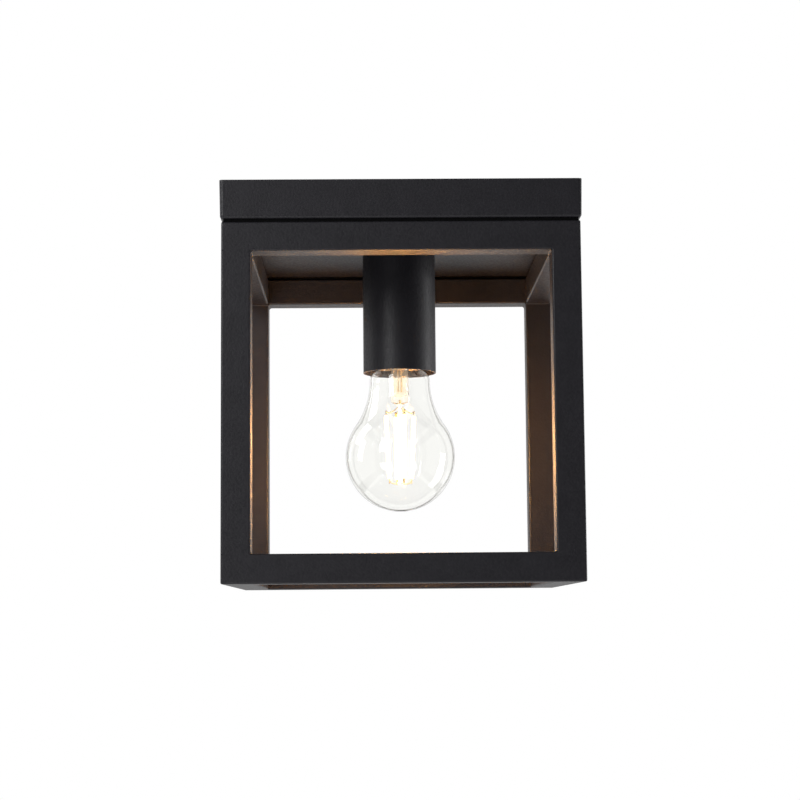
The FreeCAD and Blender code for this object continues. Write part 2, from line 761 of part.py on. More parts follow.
def make_terminal_block():
    block = body("terminal_block")
    half = total("sizes.block_pitch", "sizes.block_rim")
    base = draw(block, "block_plan", [rectangle(negative(half), "sizes.block_gap", half,
                                                total("sizes.block_gap", "sizes.block_width"))],
                "XY_Plane", offset=CANOPY_FLOOR)
    pad(block, base, "sizes.block_height", "block_base")
    tunnel = total("sizes.clamp_radius", "sizes.fit_clearance")
    tunnels = draw(block, "block_tunnels", [(x, CLAMP_Z, tunnel) for x in POLES.values()])
    pocket(block, tunnels, "4 * " + BLOCK_Y, "tunnels", middle=True)
    wells = [(x, f"({BLOCK_Y} + {sign} * sizes.clamp_screw_spacing / 2)",
              total("sizes.clamp_screw", "sizes.hole_clearance"))
             for x in POLES.values() for sign in (-1, 1)]
    pocket(block, draw(block, "block_wells", wells, "XY_Plane", offset=BLOCK_TOP),
           "sizes.block_height / 2", "wells")
    stud_hole = (BLOCK_STUD_X, BLOCK_Y, total("sizes.m3_radius", "sizes.fit_clearance"))
    pocket(block, draw(block, "block_stud_hole", [stud_hole], "XY_Plane", offset=BLOCK_TOP),
           name="stud_hole")
    part(block, "terminal_block")

    clamps, screws = [], []
    for pole, x in POLES.items():
        clamp = body(f"clamp_{pole}")
        barrel = draw(clamp, f"clamp_{pole}_ring", [(x, CLAMP_Z, "sizes.clamp_radius"),
                                                    (x, CLAMP_Z, "sizes.clamp_bore")],
                      offset=negative(BLOCK_Y))
        pad(clamp, barrel, "sizes.clamp_length", f"clamp_{pole}_barrel", middle=True)
        taps = [(x, f"({BLOCK_Y} + {sign} * sizes.clamp_screw_spacing / 2)",
                 total("sizes.clamp_screw", "sizes.fit_clearance")) for sign in (-1, 1)]
        pocket(clamp, draw(clamp, f"clamp_{pole}_taps", taps, "XY_Plane", offset=CLAMP_Z),
               "sizes.clamp_radius * 2", f"clamp_{pole}_tapped", forward=True)
        clamps.append(clamp)
        foot = total(CLAMP_Z, "sizes.wire_radius")
        for number, sign in enumerate((-1, 1)):
            screws.append(cylinder(f"clamp_screw_{pole}_{number}", "sizes.clamp_screw",
                                   less(BLOCK_TOP, foot, "sizes.clamp_screw_sink"), x,
                                   f"({BLOCK_Y} + {sign} * sizes.clamp_screw_spacing / 2)", foot))
    group("terminal_clamps", clamps)
    group("terminal_screws", screws)


def make_studs():
    earth = cylinder("earth_stud", "sizes.m4_radius", "sizes.stud_height", EARTH_X, BLOCK_Y, CANOPY_FLOOR)
    holding = cylinder("block_stud", "sizes.m3_radius", "sizes.block_stud_height", BLOCK_STUD_X,
                       BLOCK_Y, CANOPY_FLOOR)
    group("weld_studs", [earth, holding])
    fit = "sizes.fit_clearance"
    over_tag = total(TAG_Z, "sizes.washer_height")
    group("stud_nuts", [
        nut("earth_nut", "sizes.m4_flats", total("sizes.m4_radius", fit), "sizes.m4_nut",
            EARTH_X, BLOCK_Y, over_tag),
        nut("block_nut", "sizes.m3_flats", total("sizes.m3_radius", fit), "sizes.m3_nut",
            BLOCK_STUD_X, BLOCK_Y, BLOCK_TOP),
    ])
    part(tube("earth_washer", "sizes.washer_radius", total("sizes.m4_radius", fit),
              "sizes.washer_height", EARTH_X, BLOCK_Y, CANOPY_FLOOR), "earth_washer")

    tag = body("earth_tag")
    flat = draw(tag, "tag_flat", [("0", "0", "sizes.tag_radius"), ("0", "0", total("sizes.m4_radius", fit))],
                "XY_Plane")
    pad(tag, flat, "sizes.washer_height", "tag_ring")
    barrel_start = total("sizes.tag_radius", "sizes.tag_reach")
    half_neck = "(sizes.tag_neck / 2)"
    tongue = draw(tag, "tag_tongue", [rectangle(
        negative(half_neck), negative(total(barrel_start, "sizes.tag_lap")),
        half_neck, negative(less("sizes.tag_radius", "sizes.tag_lap")),
    )], "XY_Plane")
    pad(tag, tongue, "sizes.washer_height", "tag_neck")
    barrel = draw(tag, "tag_barrel", [("0", "sizes.tag_barrel", "sizes.tag_barrel")], offset=barrel_start)
    pad(tag, barrel, "sizes.tag_barrel_length", "tag_sleeve")
    bore = draw(tag, "tag_bore", [("0", "sizes.tag_barrel", total("sizes.wire_radius", fit))],
                offset=total(barrel_start, "sizes.tag_barrel_length"))
    pocket(tag, bore, total("sizes.crimp_depth", "sizes.tag_reach"), "tag_crimp")
    move(tag, EARTH_X, BLOCK_Y, TAG_Z)
    part(tag, "earth_tag")


def make_wires():
    block_end = total("sizes.block_gap", "sizes.wire_end_depth")
    tag_z = total(TAG_Z, "sizes.tag_barrel")
    tag_mouth = less(BLOCK_Y, "sizes.tag_radius", "sizes.tag_reach", "sizes.tag_barrel_length")
    loop_y = negative("sizes.earth_loop_back")
    wire("earth_wire", [
        (POLES["earth"], block_end, CLAMP_Z), (POLES["earth"], "sizes.earth_exit", CLAMP_Z),
        (negative("sizes.earth_loop_near"), loop_y, negative("sizes.earth_loop_near_drop")),
        (negative("sizes.earth_loop_far"), loop_y, negative("sizes.earth_loop_far_drop")),
        (EARTH_X, "sizes.earth_approach", tag_z),
        (EARTH_X, total(tag_mouth, "sizes.crimp_depth"), tag_z),
    ], "sizes.wire_radius")
    high = negative(total("sizes.strap_sheet", "sizes.grommet_lip", "sizes.core_headroom"))
    for name, sign, post in (("live", -1, "sizes.live_terminal_x"),
                             ("neutral", 1, "sizes.neutral_terminal_x")):
        bore_x = f"({sign} * sizes.core_offset)"
        post_x = f"({sign} * {post})"
        wire(f"{name}_wire", [
            (POLES[name], block_end, CLAMP_Z), (POLES[name], "sizes.core_exit", CLAMP_Z),
            (bore_x, "sizes.core_turn", high), (bore_x, "0", high),
            (bore_x, "0", less(BOSS_FOOT, "sizes.core_below_boss")),
            (post_x, "0", total(TERMINAL_TOP, "sizes.terminal_approach")),
            (post_x, "0", less(TERMINAL_TOP, "sizes.terminal_entry")),
        ], "sizes.wire_radius")


# --------------------------------------------------------------------------
# Nipple, cup and lampholder
# --------------------------------------------------------------------------

def make_cup():
    nipple_top = total(CANOPY_FLOOR, "sizes.nipple_above")
    part(tube("cup_nipple", "sizes.nipple_radius", "sizes.nipple_bore",
              less(nipple_top, BOSS_FOOT), z=BOSS_FOOT), "cup_nipple")
    thread = total("sizes.nipple_radius", "sizes.fit_clearance")
    part(tube("nipple_lock_washer", "sizes.lock_washer_radius", thread, "sizes.lock_washer",
              z=CANOPY_FLOOR), "nipple_lock_washer")
    part(nut("nipple_nut", "sizes.nipple_nut_flats", thread, "sizes.nipple_nut",
             z=total(CANOPY_FLOOR, "sizes.lock_washer")), "nipple_nut")

    inner = less("sizes.cup_radius", "sizes.cup_wall")
    part(tube("lampholder_cup", "sizes.cup_radius", inner, "sizes.cup_length", z=CUP_RIM), "lampholder_cup")
    hole = total("sizes.nipple_radius", "sizes.hole_clearance")
    part(tube("cup_end_disc", inner, hole, "sizes.cup_wall", z=HOLDER_TOP), "cup_end_disc")


TERMINALS = {"live": "(-1 * sizes.live_terminal_x)", "neutral": "sizes.neutral_terminal_x"}


def make_lampholder():
    fit = "sizes.fit_clearance"
    outer = "sizes.holder_radius"
    inner = less(outer, "sizes.holder_wall")
    thread = total("sizes.nipple_radius", fit)
    lid_under = less(HOLDER_TOP, "sizes.holder_cap_top")
    shoulder, inside = "sizes.holder_shoulder", "sizes.holder_shoulder_inside"
    part(turned("holder_cap", [
        (thread, HOLDER_TOP), (less(outer, shoulder), HOLDER_TOP), (outer, less(HOLDER_TOP, shoulder)),
        (outer, CORE_TOP), (inner, CORE_TOP), (inner, less(lid_under, inside)),
        (less(inner, inside), lid_under), ("sizes.holder_boss", lid_under),
        ("sizes.holder_boss", BOSS_FOOT), (thread, BOSS_FOOT),
    ]), "holder_cap")

    sleeve_foot = less(CORE_TOP, "sizes.sleeve_length")
    bore = total("sizes.thread_core", "sizes.shell_thread_wall", fit)
    chamfer = "sizes.sleeve_chamfer"
    part(turned("holder_sleeve", [
        (inner, CORE_TOP), (outer, CORE_TOP), (outer, total(sleeve_foot, chamfer)),
        (less(outer, chamfer), sleeve_foot), (bore, sleeve_foot), (bore, CORE_BOTTOM), (inner, CORE_BOTTOM),
    ]), "holder_sleeve")

    core_disc = turned("core_disc", rectangle("0", CORE_BOTTOM, less(inner, fit), CORE_TOP))
    pin = total("sizes.terminal_pin", fit)
    bores = [cylinder(f"core_bore_{name}", pin, "sizes.core_height", x, "0", CORE_BOTTOM)
             for name, x in TERMINALS.items()]
    bores += [cylinder(f"core_rivet_bore_{number}", total("sizes.rivet_radius", fit),
                       "sizes.core_height", "0", f"({sign} * sizes.rivet_y)", CORE_BOTTOM)
              for number, sign in enumerate((-1, 1))]
    part(cut("holder_core", core_disc, *bores), "holder_core")

    make_threaded_shell()

    rivets = []
    low = less(CORE_BOTTOM, "sizes.shell_floor")
    lowest, highest = less(low, "sizes.rivet_head_height"), total(CORE_TOP, "sizes.rivet_head_height")
    for number, sign in enumerate((-1, 1)):
        rivets.append(turned(f"shell_rivet_{number}", [
            ("0", lowest), ("sizes.rivet_head", lowest), ("sizes.rivet_head", low),
            ("sizes.rivet_radius", low), ("sizes.rivet_radius", CORE_TOP), ("sizes.rivet_head", CORE_TOP),
            ("sizes.rivet_head", highest), ("0", highest),
        ], "0", f"({sign} * sizes.rivet_y)"))
    group("shell_rivets", rivets)

    contact = body("holder_centre_contact")
    strip = "sizes.contact_strip"
    seat = less(CORE_BOTTOM, strip)
    under = [
        (less(TERMINALS["live"], "sizes.contact_foot"), seat),
        (total(TERMINALS["live"], "sizes.contact_bend"), seat),
        (negative("sizes.contact_near"), CONTACT_FACE), ("sizes.contact_far", CONTACT_FACE),
        ("sizes.contact_tip", total(CONTACT_FACE, "sizes.contact_tip_rise")),
    ]
    over = [(x, total(z, strip)) for x, z in reversed(under)]
    pad(contact, draw(contact, "contact_profile", [under + over]), "sizes.contact_width", "contact_strip",
        middle=True)
    part(contact, "holder_centre_contact")

    posts, screws = [], []
    well_z = less(TERMINAL_TOP, "sizes.terminal_well")
    screw_z = less(TERMINAL_TOP, "sizes.terminal_screw_drop")
    wire_room = total("sizes.wire_radius", fit)
    for name, x in TERMINALS.items():
        blank = turned(f"terminal_{name}_blank", [
            ("0", CORE_BOTTOM), ("sizes.terminal_pin", CORE_BOTTOM), ("sizes.terminal_pin", CORE_TOP),
            ("sizes.terminal_radius", CORE_TOP), ("sizes.terminal_radius", TERMINAL_TOP),
            ("0", TERMINAL_TOP),
        ], x)
        well = cylinder(f"terminal_{name}_well", wire_room, "sizes.terminal_well", x, "0", well_z)
        tap = cylinder(f"terminal_{name}_tap", total("sizes.terminal_screw", fit),
                       "2 * sizes.terminal_radius")
        move(facing(tap, (1, 0, 0), 90), x, "0", screw_z)
        posts.append(cut(f"terminal_{name}", blank, well, tap))
        screw = cylinder(f"holder_screw_{name}", "sizes.terminal_screw", "sizes.terminal_screw_length")
        screws.append(move(facing(screw, (1, 0, 0), 90), x, negative(wire_room), screw_z))
    group("holder_terminals", posts)
    group("holder_terminal_screws", screws)


def make_threaded_shell():
    """Lamp thread of the holder: a round groove on a right-hand helix, open at the mouth."""
    shell = body("holder_threaded_shell")
    outer = total("sizes.thread_core", "sizes.shell_thread_wall")
    bore = total("sizes.thread_core", "sizes.thread_clearance")
    foot = less(CORE_BOTTOM, "sizes.shell_length")
    under = less(CORE_BOTTOM, "sizes.shell_floor")
    spin(shell, draw(shell, "shell_outline", [[
        ("sizes.shell_floor_hole", CORE_BOTTOM), (outer, CORE_BOTTOM), (outer, foot), (bore, foot),
        (bore, under), ("sizes.shell_floor_hole", under),
    ]]), "shell_wall")
    holes = [("0", f"({sign} * sizes.rivet_y)", total("sizes.rivet_radius", "sizes.fit_clearance"))
             for sign in (-1, 1)]
    pocket(shell, draw(shell, "shell_rivet_holes", holes, "XY_Plane", offset=CORE_BOTTOM),
           "sizes.shell_floor", "rivet_holes")
    # the groove starts whole turns below the lamp's thread, so that the two stay in step
    add_thread(shell, "shell_thread", "PartDesign::SubtractiveHelix",
               total("sizes.thread_round", "sizes.thread_clearance"), less(THREAD_START, THREAD_RISE),
               "sizes.shell_length - sizes.shell_floor + sizes.thread_pitch / 2")
    part(shell, "holder_threaded_shell")


THREAD_START = total(SKIRT_TOP, "sizes.thread_round", "sizes.thread_runout")
THREAD_RISE = "(3 * sizes.thread_pitch)"


def add_thread(owner, name, kind, radius, start, rise):
    """Round knuckle, or a groove for one, on a helix centred on the thread's core radius."""
    centre, sink = "sizes.thread_core", "sizes.thread_sink"
    half = f"sqrt({radius} * {radius} - {sink} * {sink})"
    profile = draw(owner, f"{name}_knuckle", [[
        (less(centre, sink), less(start, half), radius, 1),
        (total(centre, radius), start, radius, 1),
        (less(centre, sink), total(start, half)),
    ]])
    thread = owner.newObject(kind, name)
    thread.Profile = profile
    thread.ReferenceAxis = (profile, ["V_Axis"])
    thread.Mode = "pitch-height-angle"
    bind(thread, {"Pitch": "sizes.thread_pitch", "Height": rise})
    return thread


# --------------------------------------------------------------------------
# Lamp
# --------------------------------------------------------------------------

GLOBE_Z = total(LAMP_BOTTOM, "sizes.globe_radius")
NECK_Z = less(CAP_EDGE, "sizes.neck_drop")
NECK_RISE = less(NECK_Z, GLOBE_Z)
# Radius of the hollow curve that leaves the neck upright and meets the globe in one line.
FLARE = (f"((sizes.neck_radius * sizes.neck_radius + {NECK_RISE} * {NECK_RISE}"
         f" - sizes.globe_radius * sizes.globe_radius) / (2 * (sizes.globe_radius - sizes.neck_radius)))")
MEET = f"(sizes.globe_radius / (sizes.globe_radius + {FLARE}))"


def make_lamp_cap():
    top = less(LAMP_TOP, "sizes.contact_height")
    part(turned("bulb_centre_contact", [
        ("0", top), ("sizes.contact_radius", top),
        ("sizes.contact_radius", less(LAMP_TOP, "sizes.contact_edge")),
        (less("sizes.contact_radius", "sizes.contact_slope"), LAMP_TOP), ("0", LAMP_TOP),
    ]), "bulb_centre_contact")

    foot = less(top, "sizes.insulator_height")
    part(turned("bulb_cap_insulator", [
        ("0", top), (total("sizes.contact_radius", "sizes.insulator_lip"), top),
        ("sizes.insulator_radius", foot), ("0", foot),
    ]), "bulb_cap_insulator")

    cap = body("bulb_cap")
    core, skirt = "sizes.thread_core", "sizes.cap_skirt"
    inside, skirt_inside = less(core, "sizes.cap_thread_wall"), less(skirt, "sizes.cap_wall")
    shoulder = less(foot, "sizes.cap_shoulder")
    spin(cap, draw(cap, "cap_outline", [[
        (less("sizes.insulator_radius", "sizes.cap_lap"), foot), ("sizes.insulator_radius", foot),
        (core, shoulder), (core, SKIRT_TOP), (skirt, less(SKIRT_TOP, "sizes.cap_flare")),
        (skirt, CAP_EDGE), (skirt_inside, CAP_EDGE),
        (skirt_inside, less(SKIRT_TOP, "sizes.cap_flare_inside")),
        (inside, SKIRT_TOP), (inside, shoulder),
    ]]), "cap_wall")
    add_thread(cap, "cap_thread", "PartDesign::AdditiveHelix", "sizes.thread_round", THREAD_START,
               THREAD_RISE)
    part(cap, "bulb_cap")


def make_lamp_glass():
    glass, globe, neck = "sizes.glass", "sizes.globe_radius", "sizes.neck_radius"
    seal = "sizes.seal_radius"
    drop, step = less(SKIRT_TOP, NECK_Z), less(neck, seal)
    swell = f"(({step} * {step} + {drop} * {drop}) / (4 * {step}))"
    middle_r = f"(({neck} + {seal}) / 2)"
    middle_z = f"(({SKIRT_TOP} + {NECK_Z}) / 2)"
    meet_r = f"(({neck} + {FLARE}) * {MEET})"
    meet_z = f"({GLOBE_Z} + {NECK_RISE} * {MEET})"
    inner_share = f"(({globe} - {glass}) / {globe})"
    inner_meet_r = f"({meet_r} * {inner_share})"
    inner_meet_z = f"({GLOBE_Z} + {NECK_RISE} * {MEET} * {inner_share})"
    # where the two neck curves meet, the inner wall lies one glass thickness along their normal
    lean_r = f"(({swell} - {step} / 2) / {swell})"
    lean_z = f"(({drop} / 2) / {swell})"
    inner_middle_r = f"({middle_r} - {glass} * {lean_r})"
    inner_middle_z = f"({middle_z} - {glass} * {lean_z})"
    inner_globe = less(globe, glass)
    part(turned("bulb_glass", [
        (seal, SEAL_TOP), (seal, SKIRT_TOP, swell, 1), (middle_r, middle_z, swell, -1),
        (neck, NECK_Z, FLARE, 1), (meet_r, meet_z, globe, -1), (globe, GLOBE_Z, globe, -1),
        ("0", LAMP_BOTTOM), ("0", total(LAMP_BOTTOM, glass), inner_globe, 1),
        (inner_globe, GLOBE_Z, inner_globe, 1), (inner_meet_r, inner_meet_z, total(FLARE, glass), -1),
        (less(neck, glass), NECK_Z, less(swell, glass), 1),
        (inner_middle_r, inner_middle_z, total(swell, glass), -1),
        (less(seal, glass), SKIRT_TOP), (less(seal, glass), SEAL_TOP),
    ]), "bulb_glass")

    stem, bore = "sizes.stem_radius", "sizes.stem_bore"
    flare_r = less(seal, glass, "sizes.stem_flare_gap")
    flare_top = less(SEAL_TOP, "sizes.stem_flare_drop")
    flare_edge = less(flare_top, "sizes.stem_flare_edge")
    flare_foot = less(flare_top, "sizes.stem_flare_length")
    bore_foot = total(STEM_FOOT, "sizes.stem_tip")
    part(turned("bulb_stem", [
        (less(flare_r, glass), flare_top), (flare_r, flare_top), (flare_r, flare_edge),
        (stem, flare_foot), (stem, total(STEM_FOOT, stem), stem, -1), ("0", STEM_FOOT),
        ("0", bore_foot), (bore, bore_foot), (bore, flare_foot), (less(flare_r, glass), flare_edge),
    ]), "bulb_stem")

    part(tube("bulb_cap_cement", less("sizes.cap_skirt", "sizes.cap_wall", "sizes.fit_clearance"),
              total(seal, "sizes.cement_gap"), "sizes.cement_height",
              z=total(CAP_EDGE, "sizes.cement_rise")), "bulb_cap_cement")


FILAMENT_TOP = less(CAP_EDGE, "sizes.filament_drop")
FILAMENT_FOOT = less(FILAMENT_TOP, "sizes.filament_length")


def rod(start, stop, radius):
    """Round rod between two points given as expressions."""
    first = FreeCAD.Vector(*(size(text) for text in start))
    last = FreeCAD.Vector(*(size(text) for text in stop))
    return Part.makeCylinder(size(radius), (last - first).Length, first, last - first)


def make_filaments():
    """Four strips that lean in towards their feet, the glass rod between them, and the wires
    that hold their end tabs on the rod."""
    spread, draw_in, tab = "sizes.filament_top_spread", "sizes.filament_bottom_spread", "sizes.tab_length"
    slope = f"(({spread} - {draw_in}) / sizes.filament_length)"
    lean = f"sqrt(1 + {slope} * {slope})"
    arm_top = total(spread, f"{slope} * sizes.arm_hold")
    arm_foot = less(draw_in, f"{slope} * sizes.arm_hold")
    clear = total("sizes.tab_radius", "sizes.arm_gap")
    bead_z = less(FILAMENT_FOOT, tab)
    pole, bead = "sizes.glass_rod", "sizes.glass_bead"
    part(turned("bulb_glass_rod", [
        ("0", STEM_FOOT), (pole, STEM_FOOT),
        (pole, total(bead_z, f"sqrt({bead} * {bead} - {pole} * {pole})"), bead, -1),
        (bead, bead_z, bead, -1), ("0", less(bead_z, bead)),
    ]), "bulb_glass_rod")

    strips, tabs, arms = [], [], []
    for quarter in range(4):
        angle = f"(sizes.filament_turn + {90 * quarter})"

        def at(radius, z):
            return (f"({radius} * cos({angle}))", f"({radius} * sin({angle}))", z)

        top, foot = at(spread, FILAMENT_TOP), at(draw_in, FILAMENT_FOOT)
        strips.append(rod(foot, top, "sizes.filament_radius"))
        tabs.append(rod(top, at(total(spread, f"{slope} * {tab} / {lean}"),
                                total(FILAMENT_TOP, f"{tab} / {lean}")), "sizes.tab_radius"))
        tabs.append(rod(foot, at(less(draw_in, f"{slope} * {tab} / {lean}"),
                                 less(FILAMENT_FOOT, f"{tab} / {lean}")), "sizes.tab_radius"))
        arms.append(rod(at(total(pole, "2 * sizes.arm_gap"), less(STEM_FOOT, "sizes.support_start")),
                        at(less(arm_top, clear), total(FILAMENT_TOP, "sizes.arm_hold")),
                        "sizes.arm_radius"))
        arms.append(rod(at(total(bead, "2 * sizes.arm_gap"), bead_z),
                        at(less(arm_foot, clear), less(FILAMENT_FOOT, "sizes.arm_hold")),
                        "sizes.arm_radius"))
    shaped("bulb_filaments", Part.makeCompound(strips))
    shaped("bulb_filament_tabs", Part.makeCompound(tabs))
    shaped("bulb_support_wires", Part.makeCompound(arms))


def make_driver():
    board_top = total(SEAL_TOP, "sizes.driver_rise")
    board_foot = less(board_top, "sizes.driver_board")
    part(turned("bulb_driver_board", rectangle("0", board_foot, "sizes.driver_radius", board_top)),
         "bulb_driver_board")
    bridge = DOC.addObject("Part::Box", "driver_bridge")
    bind(bridge, {"Length": "sizes.bridge_length", "Width": "sizes.bridge_width",
                  "Height": "sizes.bridge_height"})
    move(bridge, negative("sizes.bridge_x"), negative("sizes.bridge_width / 2"), board_top)
    group("bulb_driver_parts", [
        cylinder("driver_capacitor", "sizes.capacitor_radius", "sizes.capacitor_height",
                 "sizes.capacitor_x", "0", board_top),
        cylinder("driver_coil", "sizes.coil_radius", "sizes.coil_height",
                 negative("sizes.coil_x"), "sizes.coil_y", board_top),
        bridge,
    ])
    lead_foot = total(STEM_FOOT, "sizes.lead_depth")
    leads = [cylinder(f"lead_{number}", "sizes.lead_radius", less(board_foot, lead_foot),
                      f"({sign} * sizes.lead_spacing / 2)", "0", lead_foot)
             for number, sign in enumerate((-1, 1))]
    group("bulb_lead_wires", leads)


# --------------------------------------------------------------------------
# Build, check and write
# --------------------------------------------------------------------------

make_canopy()
make_strap()
make_side_screws()
make_frame()
make_frame_gasket()
make_frame_fixings()
make_terminal_block()
make_studs()
make_wires()
make_cup()
make_lampholder()
make_lamp_cap()
make_lamp_glass()
make_filaments()
make_driver()
DOC.recompute()

faults = []
for thing in DOC.Objects:
    if any(state in ("Invalid", "Error") for state in thing.State):
        faults.append(f"{thing.Label}: {thing.State}")
for piece in PARTS:
    if piece.Shape.isNull() or not piece.Shape.isValid() or not piece.Shape.Solids:
        faults.append(f"{piece.Label}: no valid solid")
if faults:
    raise RuntimeError("; ".join(faults))

os.makedirs("parts", exist_ok=True)
for piece in PARTS:
    piece.Shape.exportStep(f"parts/{piece.Label}.step")
    box = piece.Shape.BoundBox
    print(f"{piece.Label}: {len(piece.Shape.Solids)} solids, {piece.Shape.Volume:.1f} mm3, "
          f"z {box.ZMin:.2f} to {box.ZMax:.2f}")
print(len(PARTS), "parts")
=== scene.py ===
"""Porch ceiling lantern: glass, filaments, welds, finishes and stage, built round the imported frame.

Metres, in the frame's own axes: +Z up, front towards -Y, origin in the ceiling face.
"""

import json
import math

import bmesh
import bpy
import numpy as np
from bpy.props import FloatProperty, FloatVectorProperty, PointerProperty
from mathutils import Matrix, Vector


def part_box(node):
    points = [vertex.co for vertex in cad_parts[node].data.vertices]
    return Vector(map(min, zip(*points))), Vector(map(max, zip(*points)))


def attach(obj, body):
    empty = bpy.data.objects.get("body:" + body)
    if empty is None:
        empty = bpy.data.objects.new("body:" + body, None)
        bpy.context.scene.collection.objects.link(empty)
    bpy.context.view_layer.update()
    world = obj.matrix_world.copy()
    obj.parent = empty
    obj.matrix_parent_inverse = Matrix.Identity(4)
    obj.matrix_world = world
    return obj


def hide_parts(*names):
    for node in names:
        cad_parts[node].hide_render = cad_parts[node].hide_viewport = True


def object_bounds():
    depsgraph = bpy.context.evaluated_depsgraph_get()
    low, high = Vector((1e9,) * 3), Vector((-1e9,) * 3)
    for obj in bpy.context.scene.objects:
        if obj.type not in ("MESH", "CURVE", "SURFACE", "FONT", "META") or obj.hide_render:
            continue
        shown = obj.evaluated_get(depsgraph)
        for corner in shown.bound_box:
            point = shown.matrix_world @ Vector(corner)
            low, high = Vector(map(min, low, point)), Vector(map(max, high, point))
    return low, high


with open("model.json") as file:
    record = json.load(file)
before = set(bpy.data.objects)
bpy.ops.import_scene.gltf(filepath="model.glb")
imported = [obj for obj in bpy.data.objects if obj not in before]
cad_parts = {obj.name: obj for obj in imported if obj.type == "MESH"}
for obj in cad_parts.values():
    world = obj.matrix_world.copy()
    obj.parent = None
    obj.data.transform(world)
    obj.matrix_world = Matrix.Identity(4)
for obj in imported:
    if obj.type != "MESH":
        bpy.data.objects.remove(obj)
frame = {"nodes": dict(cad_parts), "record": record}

bl_info = {
    "name": "Porch ceiling lantern",
    "version": (1, 0, 0),
    "blender": (4, 5, 0),
    "location": "View3D > Sidebar > Lantern",
    "description": "Looks of a square porch ceiling lantern with a filament lamp",
    "category": "Object",
}

MM = 0.001
CAD_LOW, CAD_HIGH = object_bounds()
GLASS_LOW, GLASS_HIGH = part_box("bulb_glass")
CAP_LOW, CAP_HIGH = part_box("bulb_cap")
STEM_LOW, STEM_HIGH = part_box("bulb_stem")
STRIP_LOW, STRIP_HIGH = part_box("bulb_filaments")
POST_LOW, POST_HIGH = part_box("post_front_left")
UP = np.array([0.0, 0.0, 1.0])
FILAMENT_GLOW = 460.0        # strength of the lit gel


# --------------------------------------------------------------------------
# Colours and nodes
# --------------------------------------------------------------------------

def linear(code, alpha=1.0):
    """Linear colour of an sRGB hex value such as "2b2c2e"."""
    channels = [int(code[at:at + 2], 16) / 255 for at in (0, 2, 4)]
    return (*(c / 12.92 if c <= 0.04045 else ((c + 0.055) / 1.055) ** 2.4 for c in channels), alpha)


def add(tree, kind, settings=None, inputs=None):
    """Add a node with its own settings, and its inputs as values or as sockets to link from."""
    node = tree.nodes.new(kind)
    for name, value in (settings or {}).items():
        setattr(node, name, value)
    for name, value in (inputs or {}).items():
        socket = node.inputs[name]
        if isinstance(value, bpy.types.NodeSocket):
            tree.links.new(value, socket)
        else:
            socket.default_value = value
    return node


def fineness(millimetres):
    """Texture scale whose features are about this wide."""
    return 1 / (millimetres * MM)


def new_material(name, constants):
    """Material with one Principled shader, its plain numbers set on the shader's own sockets."""
    material = bpy.data.materials.new(name)
    material.use_nodes = True
    tree = material.node_tree
    tree.nodes.clear()
    shader = add(tree, "ShaderNodeBsdfPrincipled", inputs=constants)
    add(tree, "ShaderNodeOutputMaterial", inputs={"Surface": shader.outputs["BSDF"]})
    return material, tree, shader


def grain(tree, millimetres, detail=3.0, stretch=(1.0, 1.0, 1.0)):
    """Soft noise in object space whose patches are about this wide."""
    place = add(tree, "ShaderNodeTexCoord")
    sized = add(tree, "ShaderNodeMapping", inputs={"Vector": place.outputs["Object"], "Scale": stretch})
    return add(tree, "ShaderNodeTexNoise", inputs={
        "Vector": sized.outputs["Vector"], "Scale": fineness(millimetres), "Detail": detail,
    }).outputs["Fac"]


def between(tree, share, dark, light, low=0.3, high=0.7):
    """Colour between two hex values as a pattern goes from low to high."""
    spread = add(tree, "ShaderNodeMapRange", inputs={"Value": share, "From Min": low, "From Max": high})
    mix = add(tree, "ShaderNodeMix", {"data_type": "RGBA"})
    tree.links.new(spread.outputs["Result"], mix.inputs[0])
    mix.inputs[6].default_value = linear(dark)
    mix.inputs[7].default_value = linear(light)
    return mix.outputs[2]


def spread_to(tree, share, least, most):
    """Number between two values as a pattern goes over its usual range."""
    return add(tree, "ShaderNodeMapRange", inputs={
        "Value": share, "From Min": 0.3, "From Max": 0.7, "To Min": least, "To Max": most,
    }).outputs["Result"]


def relief(tree, height, depth_mm, below=None):
    """Bump of a real depth, over another bump if there is one."""
    inputs = {"Height": height, "Distance": depth_mm * MM, "Strength": 1.0}
    if below:
        inputs["Normal"] = below
    return add(tree, "ShaderNodeBump", inputs=inputs).outputs["Normal"]


def seen_by(tree, *rays):
    """One where any of these kinds of ray arrives, such as "Is Camera Ray", and zero elsewhere."""
    path = add(tree, "ShaderNodeLightPath")
    seen = path.outputs[rays[0]]
    for ray in rays[1:]:
        either = add(tree, "ShaderNodeMath", {"operation": "MAXIMUM"}, {0: seen, 1: path.outputs[ray]})
        seen = either.outputs[0]
    return seen


def plain_finish(name, dark, light, patch_mm, rough, depth_mm, constants=None, stretch=(1.0, 1.0, 1.0)):
    """Finish with a soft change of colour, roughness and height over patches of one size."""
    material, tree, shader = new_material(name, constants or {})
    patches = grain(tree, patch_mm, stretch=stretch)
    tree.links.new(between(tree, patches, dark, light), shader.inputs["Base Color"])
    tree.links.new(spread_to(tree, patches, *rough), shader.inputs["Roughness"])
    tree.links.new(relief(tree, patches, depth_mm), shader.inputs["Normal"])
    return material


# --------------------------------------------------------------------------
# Materials
# --------------------------------------------------------------------------

